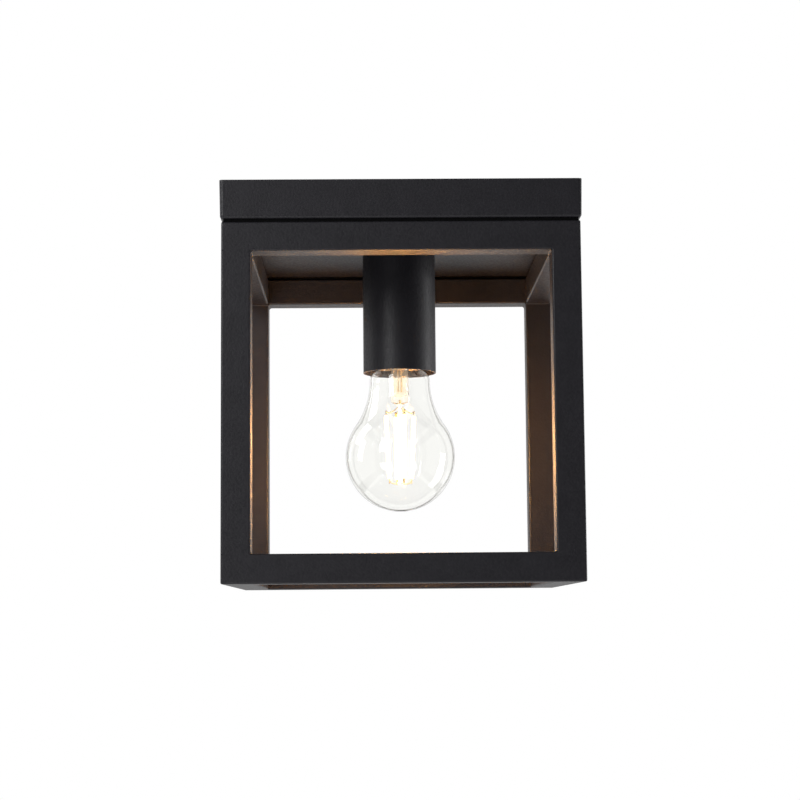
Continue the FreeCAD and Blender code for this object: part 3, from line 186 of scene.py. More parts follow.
def powder_coat():
    """Polyester powder coat, matt black, sprayed and baked: a low orange peel under a fine
    grit. The grit is about a third of a millimetre wide, drawn nearly four times as coarse so
    that it shows."""
    material, tree, shader = new_material("matt black powder coat", {
        "Specular IOR Level": 0.32, "IOR": 1.5,
    })
    grit = grain(tree, 1.2, detail=2.0)
    tree.links.new(between(tree, grain(tree, 9.0), "16151a", "1b1a1f"), shader.inputs["Base Color"])
    tree.links.new(spread_to(tree, grit, 0.38, 0.54), shader.inputs["Roughness"])
    peel = relief(tree, grain(tree, 2.6, detail=2.0), 0.014)
    tree.links.new(relief(tree, grit, 0.09, peel), shader.inputs["Normal"])
    return material


def clear_glass():
    """Soda-lime glass, blown: clear, with soft-edged reflections that its waves bend, and a
    faint grey-green cast where the wall is seen edge on."""
    material, tree, shader = new_material("blown clear glass", {
        "Base Color": linear("fdfdfb"), "Roughness": 0.0, "IOR": 1.5, "Transmission Weight": 1.0,
        "Specular Tint": linear("cfcfcf"),
    })
    tree.links.new(relief(tree, grain(tree, 14.0, detail=1.0), 0.02), shader.inputs["Normal"])
    return material


def stem_glass():
    """Lead glass tube, pinched hot round the wires: clear, with drawn streaks along it, and a faint
    painted glow that stands in for the filaments' light that it carries upwards."""
    material, tree, shader = new_material("pinched stem glass", {
        "Base Color": linear("fbf5ea"), "Roughness": 0.06, "IOR": 1.45, "Transmission Weight": 1.0,
        # the emission is painted glow, not a lamp: it stands in for the filaments' light carried up the
        # stem
        "Emission Color": linear("ffe8cb"), "Emission Strength": 0.06,
    })
    streaks = grain(tree, 2.2, stretch=(1.0, 1.0, 0.12))
    tree.links.new(relief(tree, streaks, 0.12), shader.inputs["Normal"])
    return material


def rod_glass():
    """Drawn glass rod among the lit filaments: clear, with a painted glow nearly as bright as the
    filaments, standing in for their light that its flaws scatter."""
    material, tree, shader = new_material("drawn glass rod", {
        "Base Color": linear("fffaf2"), "Roughness": 0.15, "IOR": 1.45, "Transmission Weight": 1.0,
        # the emission is painted glow, not a lamp: it stands in for the filaments' light scattered in
        # the rod
        "Emission Color": linear("fff0da"), "Emission Strength": 0.9,
    })
    streaks = grain(tree, 1.5, stretch=(1.0, 1.0, 0.12))
    tree.links.new(relief(tree, streaks, 0.05), shader.inputs["Normal"])
    return material


def phosphor():
    """Silicone gel filled with yellow phosphor over a row of diodes, lit: warm white."""
    material, tree, shader = new_material("lit phosphor gel", {
        "Roughness": 0.55, "Emission Color": linear("ffb86c"), "Emission Strength": FILAMENT_GLOW,
    })
    dots = grain(tree, 0.9)
    tree.links.new(between(tree, dots, "e8a83a", "f6c966"), shader.inputs["Base Color"])
    tree.links.new(relief(tree, dots, 0.03), shader.inputs["Normal"])
    return material


def filament_wire():
    """Nickel-iron wire with a thin copper wash: pale brownish gold, drawn marks along it."""
    return plain_finish("copper washed wire", "b7a27c", "ddcba6", 0.8, (0.25, 0.42), 0.004,
                        {"Metallic": 1.0})


def nickel_brass():
    """Brass pressed thin and plated with bright nickel: pale warm grey with faint draw lines."""
    return plain_finish("nickel plated brass", "b9b4a8", "d2cec4", 1.6, (0.18, 0.32), 0.006,
                        {"Metallic": 1.0}, stretch=(1.0, 1.0, 0.15))


def bright_zinc():
    """Mild steel with bright zinc plate: bluish grey, cloudy from the plating bath."""
    return plain_finish("bright zinc plate", "8f959b", "bcc2c6", 3.0, (0.24, 0.45), 0.01,
                        {"Metallic": 1.0})


def tinned_copper():
    """Copper stamped and hot tinned: soft silvery white, slightly wavy."""
    return plain_finish("hot tinned copper", "a9a8a2", "cfcec8", 1.2, (0.3, 0.48), 0.012,
                        {"Metallic": 1.0})


def bare_brass():
    """Machined brass: yellow, with turning lines round it."""
    return plain_finish("machined brass", "b08a3e", "cda654", 0.7, (0.2, 0.34), 0.004,
                        {"Metallic": 1.0}, stretch=(0.2, 0.2, 1.0))


def foam_rubber():
    """Closed-cell foam rubber, cut to strips: dull black, its colour set darker than the foam's own so
    that it is partly painted shade for the narrow gap it fills, with cells of about half a millimetre
    cut open, drawn a little coarser so that they show."""
    material, tree, shader = new_material("closed cell foam", {"Specular IOR Level": 0.06})
    place = add(tree, "ShaderNodeTexCoord")
    cells = add(tree, "ShaderNodeTexVoronoi", inputs={
        "Vector": place.outputs["Object"], "Scale": fineness(0.9),
    }).outputs["Distance"]
    # near-black colour: the foam's own black, darkened further as painted shade in the narrow gap
    tree.links.new(between(tree, cells, "020202", "080809", 0.1, 0.6), shader.inputs["Base Color"])
    tree.links.new(spread_to(tree, cells, 0.85, 0.95), shader.inputs["Roughness"])
    tree.links.new(relief(tree, cells, 0.12), shader.inputs["Normal"])
    return material


def grommet_rubber():
    """Moulded rubber: black, slightly bloomed."""
    return plain_finish("moulded rubber", "1a1a1a", "2a2a29", 4.0, (0.55, 0.72), 0.02)


def white_nylon():
    """Injection-moulded polyamide: milky white, satin, light goes a little way in."""
    return plain_finish("moulded polyamide", "e2e0d8", "efeee8", 6.0, (0.38, 0.5), 0.015,
                        {"Subsurface Weight": 0.15, "Subsurface Scale": 0.0008})


def insulation(name, dark, light):
    """Soft vinyl over stranded copper: even colour, waxy shine, faint strand waves beneath."""
    return plain_finish(name, dark, light, 1.8, (0.34, 0.46), 0.03)


def earth_insulation():
    """Green vinyl with a yellow stripe down two opposite sides: a stripe lies where the surface
    faces one slanting direction or its opposite."""
    material, tree, shader = new_material("green and yellow vinyl", {"Roughness": 0.4})
    facing = add(tree, "ShaderNodeVectorMath", {"operation": "DOT_PRODUCT"}, {
        0: add(tree, "ShaderNodeTexCoord").outputs["Normal"], 1: (0.45, 0.45, 0.77),
    }).outputs["Value"]
    stripe = add(tree, "ShaderNodeMath", {"operation": "ABSOLUTE"}, {0: facing}).outputs[0]
    tree.links.new(between(tree, stripe, "2f7a35", "d9c02c", 0.66, 0.70), shader.inputs["Base Color"])
    tree.links.new(relief(tree, grain(tree, 1.8), 0.03), shader.inputs["Normal"])
    return material


def thermoset():
    """Pressed phenolic resin: near black, hard gloss with a faint flow pattern."""
    return plain_finish("pressed phenolic", "121212", "1f1e1d", 5.0, (0.2, 0.34), 0.01)


def porcelain():
    """Fired steatite porcelain: off-white, unglazed satin with fine pores."""
    return plain_finish("fired steatite", "dcd8cd", "ece9e0", 0.8, (0.4, 0.6), 0.02)


def black_glass():
    """Fused black glass round the lamp's contact: jet black, fire polished."""
    return plain_finish("fused black glass", "060606", "101010", 3.0, (0.03, 0.1), 0.01)


def cap_cement():
    """Capping cement, baked: chalky tan with coarse grains."""
    return plain_finish("baked capping cement", "8f7c5f", "b8a582", 0.5, (0.8, 0.95), 0.06)


def circuit_board():
    """Glass-fibre board with green solder mask: dark green over a faint weave."""
    return plain_finish("green solder mask", "1d4a2c", "2a6239", 1.0, (0.25, 0.38), 0.01)


def moulded_component():
    """Epoxy-moulded components: dark grey, matt."""
    return plain_finish("epoxy moulding", "1e1f22", "34353a", 1.5, (0.5, 0.65), 0.015)


FINISHES = {
    "black_powder_coat": powder_coat,
    "zinc_plated_steel": bright_zinc,
    "tinned_copper": tinned_copper,
    "foam_rubber": foam_rubber,
    "grommet_rubber": grommet_rubber,
    "white_polyamide": white_nylon,
    "brass": bare_brass,
    "brown_insulation": lambda: insulation("brown vinyl", "4a2c1c", "5f3b26"),
    "blue_insulation": lambda: insulation("blue vinyl", "1f4f8f", "2f68b0"),
    "green_yellow_insulation": earth_insulation,
    "black_thermoset": thermoset,
    "porcelain": porcelain,
    "nickel_plated_brass": nickel_brass,
    "black_cap_glass": black_glass,
    "clear_glass": clear_glass,
    "stem_glass": stem_glass,
    "capping_cement": cap_cement,
    "filament_phosphor": phosphor,
    "filament_metal": filament_wire,
    "circuit_board": circuit_board,
    "driver_components": moulded_component,
}
MADE = {}


def finish(slot):
    """The material of a slot of the record, made once."""
    if slot not in MADE:
        MADE[slot] = FINISHES[slot]()
    return MADE[slot]


# --------------------------------------------------------------------------
# Surfaces
# --------------------------------------------------------------------------

def arc(centre, radius, start, stop, count):
    """Points (radius, height) round a centre from one angle to another, in radians."""
    angles = np.linspace(start, stop, count)
    return np.stack([centre[0] + radius * np.cos(angles), centre[1] + radius * np.sin(angles)], 1)


def grid_faces(rows, columns, wrap_rows, wrap_columns):
    """Quads between neighbouring rows and columns of a grid, with its seams closed where it wraps."""
    row = np.arange(rows if wrap_rows else rows - 1)[:, None]
    column = np.arange(columns if wrap_columns else columns - 1)[None, :]
    below, right = (row + 1) % rows, (column + 1) % columns
    return np.stack([row * columns + column, row * columns + right,
                     below * columns + right, below * columns + column], -1).reshape(-1, 4)


def mesh_piece(name, points, faces, slot, body, smooth=True):
    """Object from points and quads, in its finish, riding on a body. Doubles at poles and
    seams are merged, and the faces of a closed shape turned outwards."""
    mesh = bpy.data.meshes.new(name)
    mesh.from_pydata(points.reshape(-1, 3).tolist(), [], faces.tolist())
    welded = bmesh.new()
    welded.from_mesh(mesh)
    bmesh.ops.remove_doubles(welded, verts=welded.verts, dist=0.002 * MM)
    bmesh.ops.dissolve_degenerate(welded, edges=welded.edges, dist=0.001 * MM)
    bmesh.ops.recalc_face_normals(welded, faces=welded.faces)
    welded.to_mesh(mesh)
    welded.free()
    mesh.polygons.foreach_set("use_smooth", np.full(len(mesh.polygons), smooth))
    mesh.materials.append(finish(slot))
    piece = bpy.data.objects.new(name, mesh)
    bpy.context.scene.collection.objects.link(piece)
    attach(piece, body)
    return piece


def turned_points(profile, steps):
    """Profile of (radius, height) carried round the upright axis: x is radius times the
    cosine of the turn, y radius times its sine."""
    turn = np.linspace(0, 2 * math.pi, steps, endpoint=False)
    radius, height = profile[:, :1], profile[:, 1:]
    return np.stack([radius * np.cos(turn), radius * np.sin(turn), height + 0 * turn], -1)


def turned_piece(name, profile, steps, slot, body):
    """Closed solid of revolution from a closed profile."""
    points = turned_points(profile, steps)
    return mesh_piece(name, points, grid_faces(len(profile), steps, True, True), slot, body)


def along_path(path, across, section):
    """Section of (sideways, upwards) offsets carried along a flat path: each ring lies square to
    the path, sideways being the given direction and upwards its cross with the way."""
    way = np.gradient(path, axis=0)
    way /= np.linalg.norm(way, axis=1, keepdims=True)
    side = np.broadcast_to(across, path.shape)
    side = side - way * (side * way).sum(1, keepdims=True)
    side = side / np.linalg.norm(side, axis=1, keepdims=True)
    up = np.cross(way, side)
    return (path[:, None] + section[..., :1] * side[:, None] + section[..., 1:] * up[:, None])


def smooth_path(corners, count):
    """Curve through chosen points with even tangents (Catmull-Rom), as one array."""
    knots = np.vstack([2 * corners[0] - corners[1], corners, 2 * corners[-1] - corners[-2]])
    spot = np.linspace(0, len(corners) - 1, count)
    index = np.minimum(spot.astype(int), len(corners) - 2)
    share = (spot - index)[:, None]
    a, b, c, d = (knots[index + step] for step in range(4))
    return 0.5 * (2 * b + (c - a) * share + (2 * a - 5 * b + 4 * c - d) * share ** 2
                  + (3 * b - a - 3 * c + d) * share ** 3)


def capped(rings):
    """Rings with a point at each end, so that the tube is closed."""
    ends = [np.repeat(rings[at].mean(0)[None, None], rings.shape[1], 1) for at in (0, -1)]
    return np.concatenate([ends[0], rings, ends[1]])


def joined_grids(grids):
    """Several capped tubes of one grid size as one set of points and faces."""
    rows, columns = grids[0].shape[:2]
    faces = grid_faces(rows, columns, False, True)
    points = np.concatenate([grid.reshape(-1, 3) for grid in grids])
    offsets = np.arange(len(grids))[:, None, None] * rows * columns
    return points, (faces[None] + offsets).reshape(-1, 4)


# --------------------------------------------------------------------------
# Sizes that a user would change
# --------------------------------------------------------------------------

def length(name, description, millimetres):
    """Size in metres, its default given in millimetres."""
    return FloatProperty(name=name, description=description, default=millimetres * MM,
                         min=0.0, precision=5, unit="LENGTH", subtype="DISTANCE")


def power(name, description, watts):
    """Power of a soft lamp."""
    return FloatProperty(name=name, description=description, default=watts, min=0.0, unit="POWER")


def strength(name, description, value):
    """Brightness of the surroundings, where 1 is plain white."""
    return FloatProperty(name=name, description=description, default=value, min=0.0)


class LanternGlass(bpy.types.PropertyGroup):
    """Envelope and stem of the lamp. The globe's radius and both ends come from the frame."""
    wall: length("Wall", "Thickness of the blown glass", 0.4)
    neck: length("Neck radius", "Outside radius where the neck is upright", 16.6)
    neck_drop: length("Neck drop", "Neck below the edge of the cap", 7.5)
    seal: length("Seal radius", "Outside radius of the tube inside the cap", 11.0)
    seal_rise: length("Seal rise", "Where the tube starts, above the edge of the cap", 3.0)
    tip: length("Moulding tip", "Height of the thickened spot inside the globe's bottom", 0.45)
    tip_width: length("Tip width", "Distance over which the thickened spot fades", 1.6)
    stem: length("Stem radius", "Outside radius of the stem's straight tube", 4.8)
    stem_wall: length("Stem wall", "Thickness of the stem's tube", 0.9)
    stem_flare: length("Stem flare", "Height over which the stem opens to the neck", 10.0)
    stem_end: length("Stem end", "Height of the stem's round end", 2.2)
    pinch: length("Pinch", "Half thickness of the stem's flattened end", 1.7)
    pinch_length: length("Pinch length", "Height over which the stem is pressed flat", 12.0)
    pocket_end: length("Pocket end", "Solid glass left below the stem's hollow", 4.0)


class LanternFilaments(bpy.types.PropertyGroup):
    """Lit strips and the wires that hold them."""
    strip: length("Strip radius", "Half width of a filament's gel", 1.1)
    top_spread: length("Top spread", "Distance of the filament tops from the axis", 8.0)
    foot_spread: length("Foot spread", "Distance of the filament feet from the axis", 6.4)
    turn: FloatProperty(name="Turn", description="Turn of the whole set about the axis",
                        default=math.radians(16), subtype="ANGLE")
    tab: length("Tab", "Length of the metal end of a filament", 2.5)
    tab_width: length("Tab width", "Half width of a filament's metal end", 0.6)
    tab_thickness: length("Tab thickness", "Half thickness of a filament's metal end", 0.16)
    wire: length("Wire radius", "Radius of the support wires", 0.24)
    hub_drop: length("Hub drop", "Height from the lower tabs down to where the wires meet", 0.4)
    rod: length("Rod radius", "Radius of the glass rod below the stem", 0.9)
    rod_seat: length("Rod seat", "Length of the rod that is fused into the stem", 0.6)
    button: length("Button radius", "Radius of the rod's flattened end", 1.7)
    button_height: length("Button height", "Half height of the rod's flattened end", 1.2)


class LanternWelds(bpy.types.PropertyGroup):
    """Seams between the cube's tubes."""
    corner: length("Tube corner", "Round on the tube's long edges, filled flush at each joint", 1.0)
    fillet: length("Inside seam", "Radius of the seam left in each inside corner", 1.1)


class LanternStage(bpy.types.PropertyGroup):
    """Floor, lamps and camera."""
    floor_drop: length("Floor drop", "Porch floor below the ceiling", 2400.0)
    floor_side: length("Floor side", "Side of the square of floor", 8000.0)
    key_power: power("Key lamp", "Soft lamp at front left, above the lantern", 9.6)
    low_power: power("Low lamp", "Soft lamp at front left, below the lantern", 5.6)
    left_power: power("Left lamp", "Soft lamp high at the left", 3.4)
    right_power: power("Right lamp", "Soft lamp low at the right", 12.0)
    room_light: strength("Room light", "Strength of the light from in front", 0.23)
    sweep_light: strength("Sweep light", "Strength of the light from behind", 0.8)
    backdrop: FloatVectorProperty(name="Backdrop", description="Colour seen behind the lantern",
                                  default=linear("ffffff")[:3], size=3, min=0.0, max=1.0,
                                  subtype="COLOR")
    focal: FloatProperty(name="Focal length", description="Camera lens in millimetres",
                         default=86.88, min=10.0)
    distance: length("Camera distance", "Camera in front of the lantern's axis", 1056.8)
    camera_drop: length("Camera drop", "Camera below the ceiling face", 224.0)


# --------------------------------------------------------------------------
# Lamp
# --------------------------------------------------------------------------

class LANTERN_OT_glass(bpy.types.Operator):
    """Blown envelope of the lamp, one closed wall"""
    bl_idname = "lantern.glass"
    bl_label = "Lamp glass"

    def execute(self, context):
        sizes = context.scene.lantern_glass
        globe = (GLASS_HIGH.x - GLASS_LOW.x) / 2
        globe_z = GLASS_LOW.z + globe
        neck_z = CAP_LOW.z - sizes.neck_drop
        seal_z = CAP_LOW.z + sizes.seal_rise
        rise = neck_z - globe_z
        # the hollow flare leaves the neck upright and touches the globe's circle in one line
        flare = (sizes.neck ** 2 + rise ** 2 - globe ** 2) / (2 * (globe - sizes.neck))
        meet = math.atan2(rise, sizes.neck + flare)
        # two equal arcs take the neck in to the seal
        drop, step = seal_z - neck_z, sizes.neck - sizes.seal
        swell = (drop ** 2 + step ** 2) / (4 * step)
        lean = math.asin(drop / 2 / swell)
        globe_steps, flare_steps, bend_steps, steps_round = 72, 40, 12, 160
        outer = np.vstack([
            arc((0, globe_z), globe, -math.pi / 2, meet, globe_steps),
            arc((sizes.neck + flare, neck_z), flare, math.pi + meet, math.pi, flare_steps)[1:],
            arc((sizes.neck - swell, neck_z), swell, 0, lean, bend_steps)[1:],
            arc((sizes.seal + swell, seal_z), swell, math.pi + lean, math.pi, bend_steps)[1:],
            [[sizes.seal, GLASS_HIGH.z]],
        ])
        # the inner wall lies one thickness along the profile's normal, with a small tip at the pole
        way = np.gradient(outer, axis=0)
        way /= np.linalg.norm(way, axis=1, keepdims=True)
        way[0], way[-1] = (1, 0), (0, 1)
        inner = outer - sizes.wall * np.stack([way[:, 1], -way[:, 0]], 1)
        below = outer[:, 1] < globe_z
        inner[:, 1] += sizes.tip * np.exp(-(outer[:, 0] / sizes.tip_width) ** 2) * below
        inner[0, 0] = 0.0
        profile = np.vstack([outer, inner[::-1]])
        piece = turned_piece("blown_envelope", profile, steps_round, "clear_glass", "bulb")
        piece.visible_shadow = False
        piece.visible_diffuse = False
        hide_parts("bulb_glass")
        return {"FINISHED"}


class LANTERN_OT_stem(bpy.types.Operator):
    """Glass stem: a tube flared out to the neck above and pinched flat round the wires below"""
    bl_idname = "lantern.stem"
    bl_label = "Lamp stem"

    def execute(self, context):
        sizes = context.scene.lantern_glass
        top, foot = STEM_HIGH.z, STEM_LOW.z
        mouth = (STEM_HIGH.x - STEM_LOW.x) / 2
        tube_steps, end_steps, steps_round = 70, 14, 72
        flat_after = 0.625       # share of the pinch's length over which the tube closes
        gives_way = 0.04         # share by which the pressed tube widens sideways
        turn = np.linspace(0, 2 * math.pi, steps_round, endpoint=False)

        def rings(thickness, lowest):
            """Rings of the wall that lies this deep in the glass, closed in a round end: the flare
            falls off as the square of a cosine, and the pinch presses the tube flat along a
            smooth step."""
            end = foot + lowest
            closes = np.linspace(0, math.pi / 2, end_steps)
            height = np.concatenate([
                np.linspace(top, end + sizes.stem_end, tube_steps, endpoint=False),
                end + sizes.stem_end * (1 - np.sin(closes)),
            ])
            flare = np.clip((top - height) / sizes.stem_flare, 0, 1)
            radius = sizes.stem + (mouth - sizes.stem) * np.cos(flare * math.pi / 2) ** 2
            pressed = (foot + sizes.pinch_length - height) / (sizes.pinch_length * flat_after)
            pressed = np.clip(pressed, 0, 1)
            pressed = pressed ** 2 * (3 - 2 * pressed)
            closing = np.clip(1 - (height - end) / sizes.stem_end, 0, 1)
            closing = np.sqrt(np.clip(1 - closing ** 2, 0, 1))
            wide = (radius * (1 + gives_way * pressed) - thickness) * closing
            thin = (radius + (sizes.pinch - radius) * pressed - thickness) * closing
            return np.stack([wide[:, None] * np.cos(turn), thin[:, None] * np.sin(turn),
                             height[:, None] + 0 * turn], -1)

        points = np.concatenate([rings(sizes.stem_wall, sizes.pocket_end)[::-1], rings(0.0, 0.0)])
        piece = mesh_piece("pinched_stem", points, grid_faces(len(points), steps_round, False, True),
                           "stem_glass", "bulb")
        piece.visible_shadow = False
        piece.visible_diffuse = False
        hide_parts("bulb_stem")
        return {"FINISHED"}


# --------------------------------------------------------------------------
# Filaments
# --------------------------------------------------------------------------

FILAMENTS = 4
STRIP_STEPS, TAB_STEPS, WIRE_STEPS = 60, 8, 40       # steps along each
TURNS = np.linspace(0, 2 * math.pi, 20, endpoint=False)
CIRCLE = np.stack([np.cos(TURNS), np.sin(TURNS)], -1)


def gel_strip(sizes, foot, top, side):
    """Gel of one filament: its half width swells and shrinks by a few hundredths, as the sine of
    the way along it, and rounds off as a circle at both ends."""
    swells, swell, flatness = 14, 0.03, 0.9
    share = np.linspace(0, 1, STRIP_STEPS)[:, None]
    from_end = np.minimum(share, 1 - share) * np.linalg.norm(top - foot) / sizes.strip
    width = np.sqrt(np.clip(1 - np.clip(1 - from_end, 0, 1) ** 2, 0, 1))
    width = width * (1 + swell * np.sin(share * 2 * math.pi * swells))
    section = sizes.strip * width[..., None] * CIRCLE * (1, flatness)
    return capped(along_path(foot + (top - foot) * share, side, section))


def end_tab(sizes, start, way, side):
    """Metal end of a filament, a fifth of its length inside the gel. Its section is a rounded
    rectangle: a circle's cosine and sine, each raised to a small power."""
    inside, squareness = 0.2, 0.4
    section = np.sign(CIRCLE) * np.abs(CIRCLE) ** squareness * (sizes.tab_width, sizes.tab_thickness)
    line = start + way * sizes.tab * np.linspace(-inside, 1, TAB_STEPS)[:, None]
    return capped(along_path(line, side, section))


def bent_wire(sizes, away, route):
    """Round wire through given places in the upright plane of one filament, each given as its
    distance out from the lamp's axis and its height."""
    route = np.array(route)
    line = smooth_path(route[:, :1] * away + route[:, 1:] * UP, WIRE_STEPS)
    return capped(along_path(line, np.cross(away, UP), sizes.wire * CIRCLE))


class LANTERN_OT_filaments(bpy.types.Operator):
    """Four lit strips with round gel ends, their flat tabs, the bent wires that hold them and the
    glass rod between them"""
    bl_idname = "lantern.filaments"
    bl_label = "Filaments"

    def execute(self, context):
        sizes = context.scene.lantern_filaments
        turns = sizes.turn + np.arange(FILAMENTS) * 2 * math.pi / FILAMENTS
        outwards = np.stack([np.cos(turns), np.sin(turns), 0 * turns], 1)
        stem_foot, strip_top, strip_foot = STEM_LOW.z, STRIP_HIGH.z, STRIP_LOW.z
        hub = strip_foot - sizes.tab - sizes.hub_drop
        strips, tabs, wires = [], [], []
        for away in outwards:
            top = away * sizes.top_spread + UP * strip_top
            foot = away * sizes.foot_spread + UP * strip_foot
            way = (top - foot) / np.linalg.norm(top - foot)
            side = np.cross(away, UP)
            strips.append(gel_strip(sizes, foot, top, side))
            tabs += [end_tab(sizes, top, way, side), end_tab(sizes, foot, -way, side)]
            # out of the stem's pinch and up to the tab
            wires.append(bent_wire(sizes, away, [
                (0.4 * MM, stem_foot + 2.5 * MM), (0.6 * MM, stem_foot - 0.6 * MM),
                (3.5 * MM, stem_foot - 3.4 * MM),
                (sizes.top_spread - 1.5 * MM, strip_top + 1.2 * MM),
                (sizes.top_spread + 0.1 * MM, strip_top + 2.2 * MM),
            ]))
            # out of the rod's button and under the tab
            wires.append(bent_wire(sizes, away, [
                (0.0, hub + 1.6 * MM), (0.9 * MM, hub + 0.2 * MM),
                (sizes.foot_spread - 1.4 * MM, strip_foot - sizes.tab * 0.9),
                (sizes.foot_spread - 0.7 * MM, strip_foot - sizes.tab * 0.4),
            ]))
        gel = mesh_piece("lit_filaments", *joined_grids(strips), "filament_phosphor", "bulb")
        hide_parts("bulb_filaments")
        ends = mesh_piece("filament_end_tabs", *joined_grids(tabs), "filament_metal", "bulb")
        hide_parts("bulb_filament_tabs")
        held = mesh_piece("bent_support_wires", *joined_grids(wires), "filament_metal", "bulb")
        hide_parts("bulb_support_wires")

        # the rod narrows into a flattened button: an ellipse, from the angle where the rod meets it
        rod_top, button_z = stem_foot + sizes.rod_seat, hub + 0.8 * MM
        rod_foot, meets = button_z + 2 * sizes.button_height, 0.9
        end_steps, steps_round = 12, 40
        button = arc((0, 0), 1.0, meets, -math.pi / 2, end_steps) * (sizes.button, sizes.button_height)
        profile = np.vstack([
            [(0, rod_top), (sizes.rod, rod_top), (sizes.rod, rod_foot)],
            button + (0, button_z),
        ])
        pole = turned_piece("glass_rod", profile, steps_round, "stem_glass", "bulb")
        pole.data.materials[0] = rod_glass()
        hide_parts("bulb_glass_rod")
        return {"FINISHED"}


# --------------------------------------------------------------------------
# Frame seams
# --------------------------------------------------------------------------

def seam(corner, inward, upward, along, radius, reach):
    """Filled corner between two flat faces: a prism whose section is a corner with two legs
    and the hollow quarter circle between their ends, carried along the joint."""
    angles = np.linspace(0, math.pi / 2, 9)
    a = np.concatenate([[0.0], radius * (1 - np.sin(angles))])
    b = np.concatenate([[0.0], radius * (1 - np.cos(angles))])
    section = corner + a[:, None] * inward + b[:, None] * upward
    return capped(np.stack([section, section + along * reach]))


class LANTERN_OT_welds(bpy.types.Operator):
    """Ground seams outside and small hollow seams inside, where each post meets the rings"""
    bl_idname = "lantern.welds"
    bl_label = "Frame seams"

    def execute(self, context):
        sizes = context.scene.lantern_welds
        half = abs(POST_LOW.x)
        tube = POST_HIGH.x - POST_LOW.x
        east_way, north_way = np.eye(3)[:2]
        grids = []
        for east in (-1, 1):
            for north in (-1, 1):
                for level, up in ((POST_LOW.z, -1), (POST_HIGH.z, 1)):
                    for away, beside in ((east * east_way, north * north_way),
                                         (north * north_way, east * east_way)):
                        # outside: the tube's round edge is filled flush with the post
                        start = away * half + beside * (half - tube) + UP * level
                        grids.append(seam(start, -away, UP * up, beside, sizes.corner,
                                          tube - sizes.corner))
                        # inside: a hollow seam between the post's face and the ring's
                        inner = away * (half - tube) + beside * (half - tube) + UP * level
                        grids.append(seam(inner, -away, -UP * up, beside, sizes.fillet,
                                          tube - sizes.corner))
        mesh_piece("ground_weld_seams", *joined_grids(grids), "black_powder_coat", "lantern",
                   smooth=False)
        return {"FINISHED"}


# --------------------------------------------------------------------------
# Finishes of the frame's own pieces
# --------------------------------------------------------------------------

class LANTERN_OT_finishes(bpy.types.Operator):
    """Give every carried-over piece the finish of its slot"""
    bl_idname = "lantern.finishes"
    bl_label = "Finishes"

    def execute(self, context):
        for part in frame["record"]["subparts"]:
            mesh = frame["nodes"][part["node"]].data
            if not mesh.materials:
                mesh.materials.append(None)
            for index in range(len(mesh.materials)):
                mesh.materials[index] = finish(part["material_slot"])
        return {"FINISHED"}


# --------------------------------------------------------------------------
# Stage
# --------------------------------------------------------------------------

CAMERA_TURN = (-0.854, 6.541, 0.484)     # degrees: turned left, tipped up, rolled
CAMERA_ASIDE = -15.7 * MM
ROOM_ENDS, SWEEP_STARTS = -0.3, 0.6      # how far to the back, as the Y of a unit direction

# place and size of each soft lamp in metres; the low one lights the undersides, and the left and
# right ones stand where the globe mirrors them as small bright patches
SOFTBOXES = (
    ("key", (-0.75, -1.0, 0.34), (0.5, 0.65)),
    ("low", (-0.65, -1.0, -0.75), (0.6, 0.6)),
    ("left", (-1.0, 0.33, 0.55), (0.45, 0.7)),
    ("right", (1.3, 0.2, -0.35), (0.35, 0.7)),
)


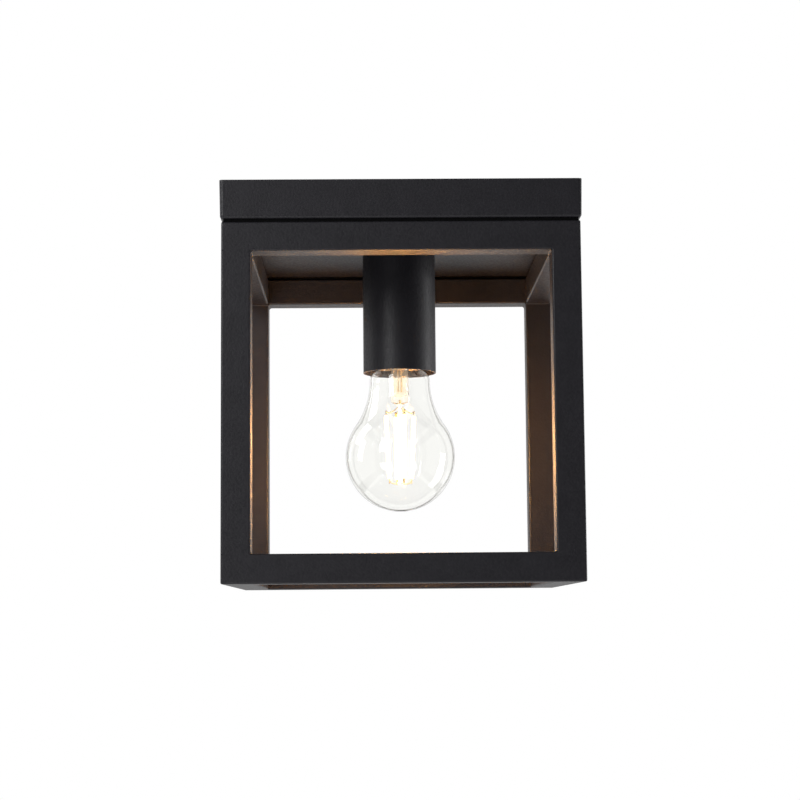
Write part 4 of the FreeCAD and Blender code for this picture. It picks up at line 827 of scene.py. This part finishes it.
class LANTERN_OT_stage(bpy.types.Operator):
    """Pale porch floor far below, soft studio lamps, white surroundings and the camera"""
    bl_idname = "lantern.stage"
    bl_label = "Stage"

    def execute(self, context):
        scene = context.scene
        sizes = scene.lantern_stage
        scene.view_settings.view_transform = "Standard"

        edge = sizes.floor_side / 2
        corners = np.array([(-edge, -edge), (edge, -edge), (edge, edge), (-edge, edge)])
        corners = np.column_stack([corners, np.full(4, -sizes.floor_drop)])
        mesh = bpy.data.meshes.new("porch_floor")
        mesh.from_pydata(corners.tolist(), [], [(0, 1, 2, 3)])
        floor = bpy.data.objects.new("porch_floor", mesh)
        scene.collection.objects.link(floor)
        material, tree, shader = new_material("pale floor paint", {
            "Base Color": linear("e9e8e5"), "Roughness": 0.8,
        })
        white = add(tree, "ShaderNodeEmission", inputs={"Color": (*sizes.backdrop, 1.0)})
        both = add(tree, "ShaderNodeMixShader", inputs={
            0: seen_by(tree, "Is Camera Ray", "Is Transmission Ray", "Is Glossy Ray"),
            1: shader.outputs["BSDF"], 2: white.outputs["Emission"],
        })
        tree.links.new(both.outputs["Shader"], tree.nodes["Material Output"].inputs["Surface"])
        mesh.materials.append(material)

        world = bpy.data.worlds.new("white studio")
        world.use_nodes = True
        tree = world.node_tree
        tree.nodes.clear()
        # a dim room in front turns into a bright sweep behind; plain white where it is seen directly
        way = add(tree, "ShaderNodeSeparateXYZ", inputs={
            "Vector": add(tree, "ShaderNodeTexCoord").outputs["Generated"],
        })
        room = add(tree, "ShaderNodeMapRange", inputs={
            "Value": way.outputs["Y"], "From Min": ROOM_ENDS, "From Max": SWEEP_STARTS,
            "To Min": sizes.room_light, "To Max": sizes.sweep_light,
        })
        brightness = add(tree, "ShaderNodeMapRange", inputs={
            "Value": seen_by(tree, "Is Camera Ray", "Is Transmission Ray"),
            "To Min": room.outputs["Result"], "To Max": 1.0,
        })
        light = add(tree, "ShaderNodeBackground", inputs={
            "Color": (*sizes.backdrop, 1.0), "Strength": brightness.outputs["Result"],
        })
        add(tree, "ShaderNodeOutputWorld", inputs={"Surface": light.outputs["Background"]})
        scene.world = world

        middle = Vector((0, 0, (CAD_LOW[2] + CAD_HIGH[2]) / 2))
        for name, place, side in SOFTBOXES:
            lamp = bpy.data.lights.new(f"{name}_softbox", "AREA")
            lamp.shape = "RECTANGLE"
            lamp.size, lamp.size_y = side
            lamp.energy = getattr(sizes, f"{name}_power")
            holder = bpy.data.objects.new(f"{name}_softbox", lamp)
            holder.location = place
            holder.rotation_euler = (middle - Vector(place)).to_track_quat("-Z", "Y").to_euler()
            scene.collection.objects.link(holder)

        view = bpy.data.cameras.new("camera")
        view.lens = sizes.focal
        view.sensor_width = 36.0
        view.clip_start = 0.01
        camera = bpy.data.objects.new("camera", view)
        yaw, pitch, roll = (math.radians(angle) for angle in CAMERA_TURN)
        turn = (Matrix.Rotation(yaw, 4, "Z") @ Matrix.Rotation(pitch, 4, "X")
                @ Matrix.Rotation(roll, 4, "Y") @ Matrix.Rotation(math.pi / 2, 4, "X"))
        place = (CAMERA_ASIDE, -sizes.distance, -sizes.camera_drop)
        camera.matrix_world = Matrix.Translation(place) @ turn
        scene.collection.objects.link(camera)
        scene.camera = camera
        return {"FINISHED"}


class LANTERN_PT_panel(bpy.types.Panel):
    """The lantern's sizes and the operators that build it"""
    bl_idname = "LANTERN_PT_panel"
    bl_label = "Porch lantern"
    bl_space_type = "VIEW_3D"
    bl_region_type = "UI"
    bl_category = "Lantern"

    def draw(self, context):
        for group in GROUPS:
            settings = getattr(context.scene, group)
            box = self.layout.box()
            for name in settings.bl_rna.properties.keys():
                if name not in ("rna_type", "name"):
                    box.prop(settings, name)
        for operator in OPERATORS:
            self.layout.operator(operator.bl_idname)


GROUPS = {
    "lantern_glass": LanternGlass,
    "lantern_filaments": LanternFilaments,
    "lantern_welds": LanternWelds,
    "lantern_stage": LanternStage,
}
OPERATORS = (
    LANTERN_OT_finishes,
    LANTERN_OT_glass,
    LANTERN_OT_stem,
    LANTERN_OT_filaments,
    LANTERN_OT_welds,
    LANTERN_OT_stage,
)


def register():
    for kind in (*GROUPS.values(), *OPERATORS, LANTERN_PT_panel):
        bpy.utils.register_class(kind)
    for name, kind in GROUPS.items():
        setattr(bpy.types.Scene, name, PointerProperty(type=kind))


def unregister():
    for name in GROUPS:
        delattr(bpy.types.Scene, name)
    for kind in (LANTERN_PT_panel, *OPERATORS, *GROUPS.values()):
        bpy.utils.unregister_class(kind)


def main():
    register()
    bpy.ops.lantern.finishes()
    bpy.ops.lantern.glass()
    bpy.ops.lantern.stem()
    bpy.ops.lantern.filaments()
    bpy.ops.lantern.welds()
    bpy.ops.lantern.stage()


if __name__ == "__main__":
    main()
